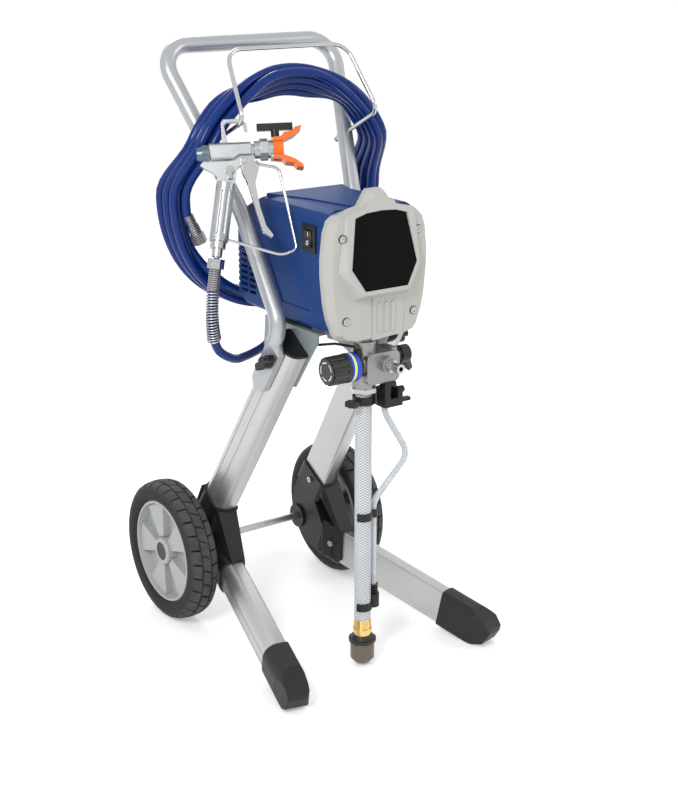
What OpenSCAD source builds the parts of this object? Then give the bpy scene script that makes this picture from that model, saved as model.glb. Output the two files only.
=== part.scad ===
/* [Wheels] */
// Diameter of the tyres
wheel_d = 228.6; // [224:0.2:232]
// Width of the tyres
wheel_w = 48; // [44:0.5:50]
// Distance between the centre planes of the wheels
track = 326; // [325:0.5:330]
// Diameter of the hub rim that carries the tyre
rim_d = 168; // [160:1:172]
// Diameter of the axle rod
axle_d = 12; // [10:0.5:14]
// Diameter of the boss in the middle of the hub
hub_boss_d = 44; // [40:1:48]
// Spokes raised on the hub
spokes = 5; // [4:1:6]
// Tread blocks round the tyre
treads = 30; // [24:1:34]
// Running clearance of the hub on the axle, on the radius
hub_gap = 0.08; // [0.05:0.01:0.1]

/* [Legs] */
// Thickness of the leg extrusions
leg_t = 34.5; // [33:0.5:36]
// Width of the leg extrusions
leg_w = 58; // [56:0.5:60]
// Wall of the leg extrusions
leg_wall = 2.2; // [1.8:0.1:3]
// Corner radius on the outer side of the legs
leg_outer_r = 20; // [18:0.5:22]
// Corner radius on the inner side of the legs
leg_inner_r = 3; // [2:0.5:4]
// Rearward rake of the upper legs from upright
leg_rake = 32.34; // [32:0.02:32.6]
// Inward lean of the upper legs
leg_lean = 2.98; // [2.8:0.02:3.2]
// Slope of the lower legs from level
low_slope = 12.3; // [12.1:0.05:12.5]
// Outward splay of the lower legs
low_splay = 13.85; // [13.6:0.05:14.1]
// Wall of the sockets in the wheel brackets
socket_wall = 3.5; // [3:0.25:4]
// Rubber of the feet outside the leg
foot_wall = 3; // [2.5:0.25:3.5]
// Clearance between a leg and what it is pushed into
leg_gap = 0.15; // [0.1:0.05:0.3]

/* [Handle] */
// Diameter of the handle tube
tube_d = 24; // [22:0.5:25]
// Wall of the handle tube
tube_wall = 1.6; // [1.2:0.1:2]
// Height of the middle of the grip bar
bar_z = 910; // [900:1:916]
// Bend radius at the upper corners
bar_bend = 40; // [36:1:50]
// Thickness of the flattened handle ends
paddle_t = 10; // [9:0.5:11]
// Width of the flattened handle ends
paddle_w = 36; // [34:0.5:38]
// Diameter of the clamping studs
stud_d = 8; // [7:0.5:9]
// Running clearance of the clamping knobs, on the radius
stud_gap = 0.08; // [0.05:0.01:0.1]
// Diameter of the hose rack rod
rack_d = 6.4; // [6:0.1:7]

/* [Drive] */
// Width of the blue shroud
shroud_w = 156; // [150:1:158]
// Wall of the shroud
shroud_wall = 3; // [2:0.25:4]
// Height of the top of the shroud
shroud_top = 705; // [703:1:708]
// Height of the motor axis
motor_z = 635; // [633:0.5:637]
// Diameter of the motor can
can_d = 80; // [76:1:86]
// Diameter of the motor shaft
motor_shaft_d = 8; // [7:0.5:9]
// Module of the gear teeth
gear_module = 1.25; // [1.25:0.25:1.25]
// Teeth on the motor pinion
pinion_teeth = 12; // [12:1:12]
// Teeth on the drive gear
gear_teeth = 60; // [60:1:60]
// Width of the gears
gear_w = 12; // [9:0.5:12]
// Throw of the crank pin
crank_throw = 4; // [3:0.25:4.5]
// Diameter of the crank shaft
crank_d = 16; // [14:0.5:18]
// Diameter of the crank pin
crank_pin_d = 14; // [12:0.5:15]
// Running clearance of shafts in their bearings, on the radius
shaft_gap = 0.06; // [0.04:0.01:0.1]

/* [Pump] */
// Distance of the pump axis from the middle, to the left
pump_x = 15; // [14:0.5:16]
// Diameter of the piston rod
piston_d = 12; // [11:0.25:13]
// Diameter of the suction tube
suction_d = 25; // [24:0.5:26]
// Bore of the suction tube
suction_bore = 19; // [18:0.5:20]
// Diameter of the inlet strainer
strainer_d = 37; // [35:0.5:39]
// Height of the underside of the strainer above the floor
strainer_z = 5; // [3:0.5:8]
// Outside diameter of the drain tube
drain_d = 9.5; // [9:0.5:10]
// Diameter of the pressure knob
knob_d = 43; // [40:0.5:45]
// Diameter of the hose outlet thread
outlet_d = 14; // [13:0.5:15]
// Bore of the hose outlet
outlet_bore = 7; // [5:0.5:8]

/* [Gun] */
// Thickness of the gun body
gun_t = 22; // [20:0.5:24]
// Diameter of the gun grip
grip_d = 27; // [25:0.5:28]
// Thickness of the trigger
trigger_t = 14; // [12:0.5:16]
// Diameter of the trigger pivot screw
trigger_pin_d = 5; // [4:0.5:5.5]
// Diameter of the tip thread
tip_thread_d = 17; // [16:0.5:18]
// Diameter of the reversible tip barrel
tip_d = 9; // [8:0.5:9.5]
// Running clearance of the small pivots, on the radius
pin_gap = 0.06; // [0.04:0.01:0.1]

/* [Hose] */
// Outside diameter of the paint hose
hose_d = 13.7; // [13.2:0.1:13.8]
// Mean radius of the coil at its sides
coil_r = 176; // [175:0.5:177]
// Height of the middle of the coil
coil_z = 699; // [698:0.5:700]

/* [Hidden] */
$fn = 48;

wheel_r = wheel_d / 2;
// How far the feet reach in front of the axle
front_reach = 402.45;
// The part's own frame is centred on the footprint, so the axle sits behind its middle
axle_y = (front_reach - wheel_r) / 2;

// Upper leg: inner front edge, and where it ends along its own length
up_origin = [74.8, -188.9, 371.25];
up_bottom = -250;
up_top = 130;
// Lower leg: inner top edge, and where it ends along its own length
low_origin = [139.5, -279.06, 78.75];
low_front = -80;
low_rear = 215;
leg_mid = leg_w / 2;
cap_t = 4;
plug_h = 8;
collar_up = -213;
collar_low = 174;
collar_end = 4;

alu = "#b9bbba";
zinc = "#a8a7a2";
black = "#1d1d1f";
silver = "#c9cacb";

module seat() {
  translate([0, axle_y, 0])
    children();
}

module both_sides() {
  children();
  mirror([1, 0, 0])
    children();
}

module cyl_x(d, l) {
  rotate([0, 90, 0])
    cylinder(d = d, h = l);
}

module cyl_y(d, l) {
  rotate([-90, 0, 0])
    cylinder(d = d, h = l);
}

// A side outline given as [y, z] points, extruded along X
module side_extrude(l) {
  rotate([90, 0, 90])
    linear_extrude(l)
      children();
}

// A front outline given as [x, z] points, extruded towards the rear
module front_extrude(l) {
  translate([0, l, 0])
    rotate([90, 0, 0])
      linear_extrude(l)
        children();
}

module ring(d_out, d_in, h) {
  difference() {
    cylinder(d = d_out, h = h);
    translate([0, 0, -1])
      cylinder(d = d_in, h = h + 2);
  }
}

module hex(flats, h) {
  cylinder(d = flats / cos(30), h = h, $fn = 6);
}

// Closed outline from its right half, which starts and ends at x = 0
function full(h) = concat(h, [for (i = [len(h) - 2 : -1 : 1]) [-h[i][0], h[i][1]]]);

function unit(v) = v / norm(v);
function turn_at(p, i) = acos(unit(p[i] - p[i - 1]) * unit(p[i + 1] - p[i]));
function set_back(p, bend, i) =
  i == 0 || i == len(p) - 1 ? 0 : bend[i] * tan(turn_at(p, i) / 2);

// Turns +Z to the direction d
module along(d) {
  rotate([0, acos(unit(d)[2]), atan2(d[1], d[0])])
    children();
}

// Weld beads that join the straights and bends of a bar
bead_h = 0.8;
bead_t = 0.03;
bead_gap = 0.02;

module pipe(r, bore_r, h) {
  difference() {
    cylinder(r = r, h = h);
    if (bore_r > 0)
      translate([0, 0, -1])
        cylinder(r = bore_r, h = h + 2);
  }
}

// Round bar of radius r through the points p, with the bend radius of each corner in bend
module rod_path(p, bend, r, bore_r = 0) {
  last = len(p) - 1;
  for (i = [0 : last - 1]) {
    d = unit(p[i + 1] - p[i]);
    from = set_back(p, bend, i) + (i > 0 ? bead_gap : 0);
    to = norm(p[i + 1] - p[i]) - set_back(p, bend, i + 1) - (i + 1 < last ? bead_gap : 0);
    translate(p[i] + d * from)
      along(d)
        pipe(r, bore_r, to - from);
    for (at = [if (i > 0) from, if (i + 1 < last) to])
      translate(p[i] + d * (at - bead_h / 2))
        along(d)
          pipe(r + bead_t, bore_r > 0 ? bore_r - bead_t : 0, bead_h);
  }
  for (i = [1 : last - 1]) {
    d = unit(p[i] - p[i - 1]);
    axis = unit(cross(d, unit(p[i + 1] - p[i])));
    side = cross(axis, d);
    c = p[i] - d * set_back(p, bend, i) + side * bend[i];
    multmatrix([[-side[0], d[0], axis[0], c[0]],
                [-side[1], d[1], axis[1], c[1]],
                [-side[2], d[2], axis[2], c[2]],
                [0, 0, 0, 1]])
      rotate_extrude(angle = turn_at(p, i))
        translate([bend[i], 0])
          difference() {
            circle(r = r);
            if (bore_r > 0)
              circle(r = bore_r);
          }
  }
}

// ---- Frame ----

// Quarter of a disc that points to the angle a + 45
module quarter(r, a) {
  rotate(a)
    intersection() {
      circle(r = r);
      square(r);
    }
}

// D-shaped section of a leg, grown by g: inner side at x = 0, edges at y = 0 and leg_w
module leg_section(g) {
  xo = leg_t - leg_outer_r;
  translate([leg_inner_r, leg_inner_r])
    quarter(leg_inner_r + g, 180);
  translate([leg_inner_r, leg_w - leg_inner_r])
    quarter(leg_inner_r + g, 90);
  translate([xo, leg_outer_r])
    quarter(leg_outer_r + g, 270);
  translate([xo, leg_w - leg_outer_r])
    quarter(leg_outer_r + g, 0);
  translate([leg_inner_r, -g])
    square([xo - leg_inner_r, leg_w + 2 * g]);
  translate([-g, leg_inner_r])
    square([leg_inner_r + g, leg_w - 2 * leg_inner_r]);
  translate([xo, leg_outer_r])
    square([leg_outer_r + g, leg_w - 2 * leg_outer_r]);
}

module leg_tube(from, to) {
  groove = 0.8;
  translate([0, 0, from])
    linear_extrude(to - from)
      difference() {
        leg_section(0);
        leg_section(-leg_wall);
        for (y = [leg_outer_r, leg_w - leg_outer_r])
          translate([leg_t - groove, y - groove])
            square(2 * groove);
      }
}

module upper_frame() {
  translate(up_origin)
    rotate([leg_rake, -leg_lean, 0])
      children();
}

module lower_frame() {
  translate(low_origin)
    rotate([low_slope - 90, 0, low_splay])
      children();
}

// Middle of the clamping stud and of the bracket bolts, across and along the upper leg
stud_y = 24;
stud_s = 105;
plate_bolts = [[14, 118], [46, 66]];
bolt_d = 6;

module upper_leg() {
  color(alu)
    seat()
      upper_frame()
        difference() {
          leg_tube(up_bottom, up_top);
          translate([-1, stud_y, stud_s])
            cyl_x(stud_d + 0.4, leg_t + 2);
          for (b = plate_bolts)
            translate([-1, b[0], b[1]])
              cyl_x(bolt_d, leg_t / 2);
          translate([-1, leg_mid, screw_up])
            cyl_x(screw_d, leg_t / 2);
        }
}

module upper_leg_caps() {
  color(black)
    seat()
      both_sides()
        upper_frame()
          translate([0, 0, up_top]) {
            linear_extrude(cap_t)
              leg_section(0);
            translate([0, 0, -plug_h])
              linear_extrude(plug_h)
                leg_section(-leg_wall - leg_gap);
          }
}

screw_d = 5;
screw_head = 10;
screw_up = -229;
screw_low = 194;

module lower_leg() {
  color(alu)
    seat()
      lower_frame()
        difference() {
          leg_tube(low_front, low_rear);
          translate([-1, leg_mid, screw_low])
            cyl_x(screw_d, leg_t / 2);
        }
}

// Side outline of a foot along and across the lower leg, [along, down]
foot_side = [[-38, -3], [-60, -3], [-88, -5.5], [-122, 8], [-134, 18], [-135, 26], [-128, 45],
             [-98, 62], [-38, 61]];

module feet() {
  color(black)
    seat()
      both_sides()
        difference() {
          lower_frame()
            intersection() {
              translate([0, 0, -136])
                linear_extrude(98)
                  leg_section(foot_wall);
              translate([-foot_wall - 1, 0, 0])
                rotate([90, 0, 90])
                  mirror([1, 0])
                    rotate(90)
                      linear_extrude(leg_t + 10)
                        polygon(foot_side);
              translate([0, -10, 0])
                rotate([-90, 0, 0])
                  linear_extrude(80)
                    polygon([[-foot_wall, 37], [leg_t + foot_wall, 37], [leg_t + foot_wall, 90],
                             [leg_t - 3, 134], [leg_t - 8, 138], [3, 138], [-foot_wall, 130]]);
            }
          lower_frame()
            translate([0, 0, low_front])
              linear_extrude(60)
                leg_section(leg_gap);
          translate([0, -600, -50])
            cube([400, 600, 50]);
        }
}

// ---- Wheel brackets ----

// Side outline of the bracket between its two sockets, [y, z]
bracket_side = [[-113, 117], [-110, 66], [-60, 66], [-19, 78], [20, 117], [11, 163], [-24, 222],
                [-74, 190]];
bracket_in = 84;
bracket_out = 118;
boss_d = 40;
boss_end = track / 2 - wheel_w / 2 - 1.5;

// Bore of a screw through the socket wall and room for its head
module screw_room() {
  translate([-10, 0, 0])
    cyl_x(screw_d, 20);
  translate([-socket_wall - 20, 0, 0])
    cyl_x(screw_head + 1, 20);
}

module wheel_bracket() {
  color(black)
    seat()
      difference() {
        union() {
          upper_frame()
            translate([0, 0, up_bottom - collar_end])
              linear_extrude(collar_up - up_bottom + collar_end)
                leg_section(socket_wall);
          lower_frame()
            translate([0, 0, collar_low])
              linear_extrude(low_rear + collar_end - collar_low)
                leg_section(socket_wall);
          difference() {
            translate([bracket_in, 0, 0])
              side_extrude(bracket_out - bracket_in)
                polygon(bracket_side);
            // Inner side follows the splay of the lower leg
            translate([bracket_in, -72, 0])
              rotate([0, 0, low_splay])
                translate([-60, -100, 0])
                  cube([60, 100, 250]);
            // Pocket behind the diagonal strut
            translate([60, 0, 0])
              side_extrude(bracket_out - 64)
                polygon([[-99, 125], [-62, 176], [-48, 158], [-70, 122]]);
            // Hollow rear of the moulding, open towards the wheel
            translate([bracket_in + 5, 0, 0])
              side_extrude(60)
                difference() {
                  offset(delta = -5)
                    polygon(bracket_side);
                  translate([0, wheel_r])
                    circle(d = boss_d + 6);
                  polygon([[-120, 100], [-56, 190], [-40, 165], [-60, 110]]);
                  translate([-45, 100])
                    square([4, 110]);
                  rotate(38)
                    translate([0, 150])
                      square([120, 4]);
                }
          }
          translate([bracket_in - 4, 0, wheel_r])
            cyl_x(boss_d, boss_end - bracket_in + 4);
        }
        upper_frame()
          translate([0, 0, up_bottom])
            linear_extrude(80)
              leg_section(leg_gap);
        lower_frame()
          translate([0, 0, low_rear - 80])
            linear_extrude(80)
              leg_section(leg_gap);
        translate([bracket_in - 10, 0, wheel_r])
          cyl_x(axle_d + 0.1, 80);
        upper_frame()
          translate([0, leg_mid, screw_up])
            screw_room();
        lower_frame()
          translate([0, leg_mid, screw_low])
            screw_room();
      }
}

module pan_screw(l) {
  cyl_x(screw_d - 0.1, l);
  translate([-3, 0, 0])
    difference() {
      cyl_x(screw_head, 3);
      translate([-1, 0, 0])
        rotate([0, 90, 0])
          hex(4, 2.5);
    }
}

module bracket_screws() {
  color(zinc)
    seat()
      both_sides() {
        upper_frame()
          translate([-socket_wall, leg_mid, screw_up])
            pan_screw(10);
        lower_frame()
          translate([-socket_wall, leg_mid, screw_low])
            pan_screw(10);
      }
}

// ---- Axle and wheels ----

cap_h = 3;
retainer_t = 1.5;
hub_half = 20;
axle_half = track / 2 + hub_half - cap_h - 1.5;

module axle() {
  color(zinc)
    seat()
      translate([-axle_half, 0, wheel_r])
        cyl_x(axle_d, 2 * axle_half);
}

// Push-on nuts outside the hubs and washers inside them
module axle_retainers() {
  color(zinc)
    seat()
      both_sides()
        translate([0, 0, wheel_r])
          rotate([0, 90, 0]) {
            translate([0, 0, axle_half - 2.5])
              ring(axle_d + 10, axle_d, retainer_t);
            translate([0, 0, boss_end + 0.2])
              ring(axle_d + 12, axle_d + 0.1, 1);
          }
}

module sector(r_in, r_out, a) {
  difference() {
    intersection() {
      circle(r = r_out);
      polygon([[0, 0], [2 * r_out, -2 * r_out * tan(a / 2)], [2 * r_out, 2 * r_out * tan(a / 2)]]);
    }
    circle(r = r_in);
  }
}

rim_r = rim_d / 2;
wedge_h = 15;

// Wheel hub about +Z, with its middle at z = 0 and its outer side up
module hub() {
  boss_r = hub_boss_d / 2;
  difference() {
    union() {
      rotate_extrude()
        polygon([[0, -hub_half - 3], [boss_r - 4, -hub_half - 3], [boss_r, -hub_half], [boss_r, -3],
                 [rim_r - 8, -3], [rim_r - 6, -hub_half], [rim_r, -hub_half], [rim_r, hub_half - 2],
                 [rim_r - 2, hub_half], [rim_r - 5, hub_half], [rim_r - 8, 3], [boss_r + 1, 3],
                 [boss_r, hub_half - 2], [boss_r - 2, hub_half], [0, hub_half]]);
      for (i = [0 : spokes - 1])
        rotate(90 + i * 360 / spokes)
          linear_extrude(wedge_h)
            sector(boss_r + 2, rim_r - 7, 180 / spokes + 2);
    }
    for (i = [0 : spokes - 1])
      rotate(90 + i * 360 / spokes)
        translate([0, 0, -4])
          linear_extrude(wedge_h + 1)
            sector(boss_r + 7, rim_r - 10, 180 / spokes - 6);
    translate([0, 0, -hub_half - 4])
      cylinder(r = axle_d / 2 + hub_gap, h = 2 * hub_half + 8);
    translate([0, 0, axle_half - track / 2 - 2.7])
      cylinder(d = axle_d + 10.6, h = 20);
    translate([0, 0, hub_half - cap_h])
      cylinder(d = axle_d + 18, h = 20);
  }
}

module on_wheel() {
  seat()
    translate([track / 2, 0, wheel_r])
      rotate([0, 90, 0])
        children();
}

module wheel_hub() {
  color("#b4b6b8")
    on_wheel()
      hub();
}

module hub_cap() {
  color(black)
    on_wheel()
      translate([0, 0, hub_half - cap_h])
        cylinder(d = axle_d + 18, h = cap_h - 0.5);
}

// Half outline of the tyre from bead to tread, [radius, side]
tyre_half = [[rim_r, hub_half], [rim_r + 5, wheel_w / 2 - 1], [rim_r + 12, wheel_w / 2],
             [rim_r + 18, wheel_w / 2 - 0.5], [wheel_r - 7, wheel_w / 2 - 2],
             [wheel_r - 3.5, wheel_w / 2 - 5], [wheel_r - 1.2, wheel_w / 2 - 11], [wheel_r, 4]];
groove_w = 3;
groove_h = 3.5;

module tyre() {
  half = len(tyre_half) - 1;
  color("#262626")
    on_wheel()
      difference() {
        rotate_extrude($fn = 96)
          difference() {
            polygon([for (p = tyre_half) p, for (i = [0 : half]) [tyre_half[half - i][0],
                     -tyre_half[half - i][1]]]);
            for (z = [-8, 8])
              translate([wheel_r - groove_h, z - groove_w / 2])
                square([20, groove_w]);
          }
        for (i = [0 : treads - 1])
          rotate(i * 360 / treads) {
            for (s = [-1, 1])
              translate([wheel_r - 8, -groove_w / 2, s * 17 - 9])
                rotate([s * 12, 0, 0])
                  cube([20, groove_w, 18]);
            rotate(180 / treads)
              translate([wheel_r - groove_h, 0, 0])
                rotate([28, 0, 0])
                  translate([0, -groove_w / 2, -8])
                    cube([20, groove_w, 16]);
          }
      }
}

// ---- Handle and hose rack ----

// A point given in the upper leg's own frame, in the frame of the axle
function from_leg(p) =
  let (y = p[1] * cos(leg_rake) - p[2] * sin(leg_rake),
       z = p[1] * sin(leg_rake) + p[2] * cos(leg_rake))
  up_origin + [p[0] * cos(leg_lean) - z * sin(leg_lean), y, p[0] * sin(leg_lean) + z * cos(leg_lean)];

function flip(p) = [-p[0], p[1], p[2]];
// Path of the right half of the handle and then of the left half
function whole(p) = concat(p, [for (i = [len(p) - 1 : -1 : 0]) flip(p[i])]);
function twice(b) = concat(b, [for (i = [len(b) - 1 : -1 : 0]) b[i]]);

seat_gap = 0.1;
paddle_y = 29;
paddle_end = 43;
paddle_top = 127;
tube_start = 143;
tube_off = leg_t + tube_d / 2 + 1;
handle_low = [101.5, -133.5, 682];
handle_high = [158.5, 2, bar_z];
handle_path = whole([from_leg([tube_off, paddle_y, tube_start - 2]), from_leg([tube_off, paddle_y, 170]),
                     handle_low, handle_high]);
handle_bends = twice([0, 36, 110, bar_bend]);
// Where the rack rod crosses the handle tube, and its front corners
rack_cross = handle_low + (handle_high - handle_low) * 0.39;
rack_corner = [118.4, -173, 816];
rack_dir = unit(rack_cross - rack_corner);
rack_path = whole([rack_cross + rack_dir * 27, rack_corner, [104.7, -107, bar_z]]);

module handle() {
  color(silver)
    seat()
      difference() {
        union() {
          rod_path(handle_path, handle_bends, tube_d / 2, tube_d / 2 - tube_wall);
          both_sides()
            upper_frame() {
              hull() {
                translate([leg_t + seat_gap, paddle_y - paddle_w / 2, paddle_top - 1])
                  cube([paddle_t, paddle_w, 1]);
                translate([tube_off, paddle_y, tube_start - 1.5])
                  cylinder(d = tube_d - tube_wall, h = 2.5, $fn = 32);
              }
              translate([leg_t + seat_gap, 0, 0])
                side_extrude(paddle_t) {
                  translate([paddle_y - paddle_w / 2, paddle_end + paddle_w / 2])
                    square([paddle_w, paddle_top - paddle_end - paddle_w / 2]);
                  translate([paddle_y, paddle_end + paddle_w / 2])
                    circle(d = paddle_w);
                }
            }
        }
        both_sides() {
          upper_frame()
            translate([leg_t - 1, stud_y, stud_s])
              cyl_x(stud_d + 0.4, paddle_t + 4);
          translate(rack_cross - rack_dir * 20)
            along(rack_dir)
              cylinder(d = rack_d + 0.2, h = 40);
        }
      }
}

module hose_rack() {
  color(silver)
    seat()
      rod_path(rack_path, twice([0, 14, 28]), rack_d / 2);
}

plate_t = 3;
nut_h = 5;

// Clamping studs, bolts of the motor bracket and cap nuts of the hose rack
module frame_fasteners() {
  color(zinc)
    seat()
      both_sides() {
        upper_frame() {
          translate([-plate_t, stud_y, stud_s]) {
            cyl_x(stud_d, plate_t + leg_t + paddle_t + 12);
            translate([-4, 0, 0])
              cyl_x(2 * stud_d, 4);
          }
          for (b = plate_bolts)
            translate([-plate_t, b[0], b[1]]) {
              cyl_x(bolt_d - 0.2, plate_t + 9);
              translate([-4, 0, 0])
                rotate([0, 90, 0])
                  hex(10, 4);
            }
        }
        translate(rack_cross + rack_dir * (tube_d / 2 + 1.5))
          along(rack_dir)
            difference() {
              union() {
                cylinder(d = 12, h = 1.5);
                hex(10, nut_h + 2);
                translate([0, 0, 27 - tube_d / 2 - 1.5])
                  sphere(d = 9);
              }
              translate([0, 0, -1])
                cylinder(d = rack_d + 0.1, h = 27.1 - tube_d / 2 - 0.5);
            }
      }
}

// Wing-shaped clamping knob on the stud
module handle_knob() {
  foot = leg_t + seat_gap + paddle_t + 0.4;
  color(black)
    seat()
      upper_frame()
        translate([foot, stud_y, stud_s])
          rotate([112, 0, 0])
            difference() {
              union() {
                cyl_x(18, 14);
                translate([3, 0, 0])
                  side_extrude(11)
                    for (s = [-1, 1]) {
                      translate([s * 14, 0])
                        circle(d = 12);
                      translate([s * 7, 0])
                        square([14, 9], center = true);
                    }
              }
              translate([-1, 0, 0])
                cyl_x(stud_d + 2 * stud_gap, 13);
              translate([-1, 14, 0])
                cyl_x(5, 20);
            }
}

// ---- Motor bracket ----

bracket_top = 521;
// Side outline of the bracket plates, [y, z]
plate_side = [[-280, bracket_top], [-280, 507], [-272, 497], [-228, 430], [-222, 429], [-143, 456],
              [-140, 460], [-141, bracket_top]];

module motor_bracket() {
  color("#8f979b")
    seat()
      difference() {
        union() {
          both_sides()
            translate([up_origin[0], 0, up_origin[2]])
              rotate([0, -leg_lean, 0])
                translate([-plate_t, 0, -up_origin[2]])
                  side_extrude(plate_t)
                    polygon(plate_side);
          translate([-66.5, -280, bracket_top - plate_t])
            cube([133, 139, plate_t]);
        }
        both_sides()
          upper_frame() {
            translate([-10, stud_y, stud_s])
              cyl_x(stud_d + 0.4, 12);
            for (b = plate_bolts)
              translate([-10, b[0], b[1]])
                cyl_x(bolt_d, 12);
          }
        translate([-300, -290, bracket_top])
          cube([600, 160, 20]);
        for (x = [-45, 45])
          for (y = [-265, -235])
            translate([x, y, bracket_top - 10])
              cylinder(d = bolt_d, h = 20);
      }
}

// ---- Shroud ----

shroud_x = shroud_w / 2;
shroud_front = -315;
shroud_bottom = 530;
// Side outline, [y, z]
shroud_side = [[shroud_front, shroud_bottom], [shroud_front, shroud_top], [-152, shroud_top],
               [-93, 672], [-74, 636], [-70, 600], [-82, 549], [-106, 533], [-122, shroud_bottom]];
// Front outline of the right half, [x, z]
shroud_half = [[0, shroud_bottom], [shroud_x - 8, shroud_bottom], [shroud_x - 2, 536],
               [shroud_x, 556], [shroud_x, 682], [shroud_x - 2, 692], [shroud_x - 8, 700],
               [shroud_x - 17, shroud_top], [0, shroud_top]];
switch_y = -277;
switch_z = 662;
switch_w = 30;
switch_h = 35;
// Middle of the cord gland on the rear wall, and the slope of the wall there
gland_at = [45, -77.06, 570];
gland_tilt = 13.24;

// Solid form of the shroud, smaller by g all round
module shroud_form(g) {
  intersection() {
    translate([-shroud_x, 0, 0])
      side_extrude(shroud_w)
        offset(delta = -g)
          polygon(shroud_side);
    translate([0, shroud_front - 1, 0])
      front_extrude(300)
        offset(delta = -g)
          polygon(full(shroud_half));
    translate([0, 0, 500])
      linear_extrude(250)
        offset(delta = -g) {
          translate([-shroud_x, shroud_front - 10])
            square([shroud_w, -90 - shroud_front + 10]);
          translate([-shroud_x + 22, shroud_front - 10])
            square([shroud_w - 44, -68 - shroud_front + 10]);
          for (s = [-1, 1])
            translate([s * (shroud_x - 22), -92])
              circle(r = 22);
        }
  }
}

module at_gland() {
  translate(gland_at)
    rotate([-gland_tilt, 0, 0])
      children();
}

module louvres() {
  for (i = [0 : 7])
    for (y = [-134, -111, -88])
      translate([-shroud_x - 10, y, 552 + i * 9])
        cube([shroud_w + 20, 18, 4.5]);
}

module shroud() {
  color("#1b4f9c")
    seat()
      difference() {
        union() {
          shroud_form(0);
          // Raised pad along the top
          translate([0, 0, shroud_top - 3])
            linear_extrude(5)
              polygon([[-68, -152], [-42, -225], [-26, shroud_front], [26, shroud_front], [42, -225],
                       [68, -152]]);
        }
        shroud_form(shroud_wall);
        // Opening round the drive housing
        translate([0, shroud_front - 1, 0])
          front_extrude(flange_t + 4)
            offset(delta = housing_gap)
              polygon(full(flange_half));
        // Opening over the motor bracket
        translate([-66, shroud_front + 5, shroud_bottom - 1])
          cube([132, 190, 6]);
        louvres();
        both_sides()
          translate([shroud_x - 1.5, 0, 0])
            side_extrude(10)
              polygon([[-165, 621], [-286, 631], [-276, 556], [-204, 556]]);
        translate([-shroud_x - 5, switch_y - switch_w / 2, switch_z - switch_h / 2])
          cube([12, switch_w, switch_h]);
        at_gland()
          translate([0, -20, 0])
            cyl_y(16, 40);
      }
}

// ---- Drive ----

pump_y = -321;
gear_front = -313;
centres = gear_module * (pinion_teeth + gear_teeth) / 2;
crank_z = motor_z - sqrt(pow(centres, 2) - pow(pump_x, 2));
mesh_angle = atan2(crank_z - motor_z, -pump_x);
backlash = 0.2;
bearing_d = 22;
bearing_w = 7;
housing_front = -315;
housing_rear = -253;
can_rear = -133;
cover_face = -339;
pocket_y = -332;

// Front outline of the right half of the gear cover, [x, z]
cover_half = [[0, 514], [44, 514], [62, 519], [70, 528], [79, 552], [84, 576], [88, 616], [88, 640],
              [84, 676], [78, 692], [69, 699], [28, 708], [0, 708]];
hump_half = [[0, 680], [34, 680], [28, 707], [14, 729], [10, 731], [0, 731]];
// Front outlines of the flange behind it and of the drive housing proper
flange_half = [[0, bracket_top], [66, bracket_top], [72, 545], [72, 680], [60, 696], [0, 696]];
housing_half = [[0, bracket_top], [58, bracket_top], [58, 660], [46, 690], [0, 690]];
flange_t = 12;
housing_gap = 0.5;

function inv_at(r, base) = let (a = acos(min(1, base / r))) tan(a) * 180 / PI - a;

// Involute gear outline with a tooth on the angle 0
module gear_outline(teeth) {
  pitch_r = gear_module * teeth / 2;
  base = pitch_r * cos(20);
  root = pitch_r - 1.2 * gear_module;
  tip = pitch_r + 0.8 * gear_module;
  low = max(base, root);
  half = 90 / teeth - backlash * 45 / PI / pitch_r + inv_at(pitch_r, base);
  radii = [for (k = [0 : 3]) low + (tip - low) * k / 3];
  polygon([for (i = [0 : teeth - 1]) each concat(
    [root * [cos(i * 360 / teeth - half), sin(i * 360 / teeth - half)]],
    [for (r = radii) let (a = i * 360 / teeth - half + inv_at(r, base)) r * [cos(a), sin(a)]],
    [for (k = [3 : -1 : 0]) let (r = radii[k], a = i * 360 / teeth + half - inv_at(r, base))
      r * [cos(a), sin(a)]],
    [root * [cos(i * 360 / teeth + half), sin(i * 360 / teeth + half)]])]);
}

module at_motor(y) {
  translate([0, y, motor_z])
    children();
}

module at_crank(y) {
  translate([-pump_x, y, crank_z])
    children();
}

module drive_housing() {
  color("#b3b1ab")
    seat()
      difference() {
        union() {
          translate([0, housing_front, 0])
            front_extrude(housing_rear - housing_front)
              polygon(full(housing_half));
          translate([0, housing_front, 0])
            front_extrude(flange_t)
              polygon(full(flange_half));
          // Lug that carries the pump
          translate([-pump_x - 20, pocket_y + 1, 514])
            cube([40, housing_front - pocket_y, 20]);
        }
        // Gear chamber
        at_crank(housing_front - 1)
          cyl_y(gear_module * gear_teeth + 5, housing_front * -1 + gear_front + gear_w + 3);
        at_motor(housing_front - 1)
          cyl_y(bearing_d, bearing_w + 8);
        // Bores of the motor and crank shafts
        at_crank(housing_front)
          cyl_y(crank_d + 2 * shaft_gap, 55);
        at_motor(housing_front)
          cyl_y(motor_shaft_d + 2 * shaft_gap, 70);
        at_motor(housing_rear - 6)
          cyl_y(can_d + 0.4, 10);
        at_motor(housing_rear - 30)
          cyl_y(can_d - 14, 30);
        // Bore of the pump neck, and the way of the connecting rod above it
        translate([-pump_x, pump_y, 500])
          cylinder(d = neck_out_d + 0.2, h = 50);
        translate([-pump_x - 16, housing_front - 1, 534])
          cube([32, 5, crank_z - 534]);
        for (x = [-45, 45])
          for (y = [-265, -285])
            translate([x, y, bracket_top - 1])
              cylinder(d = bolt_d, h = 12);
        for (p = cover_points)
          translate([p[0], housing_front - 1, p[1]])
            cyl_y(screw_d + 0.1, 14);
      }
}

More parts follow.
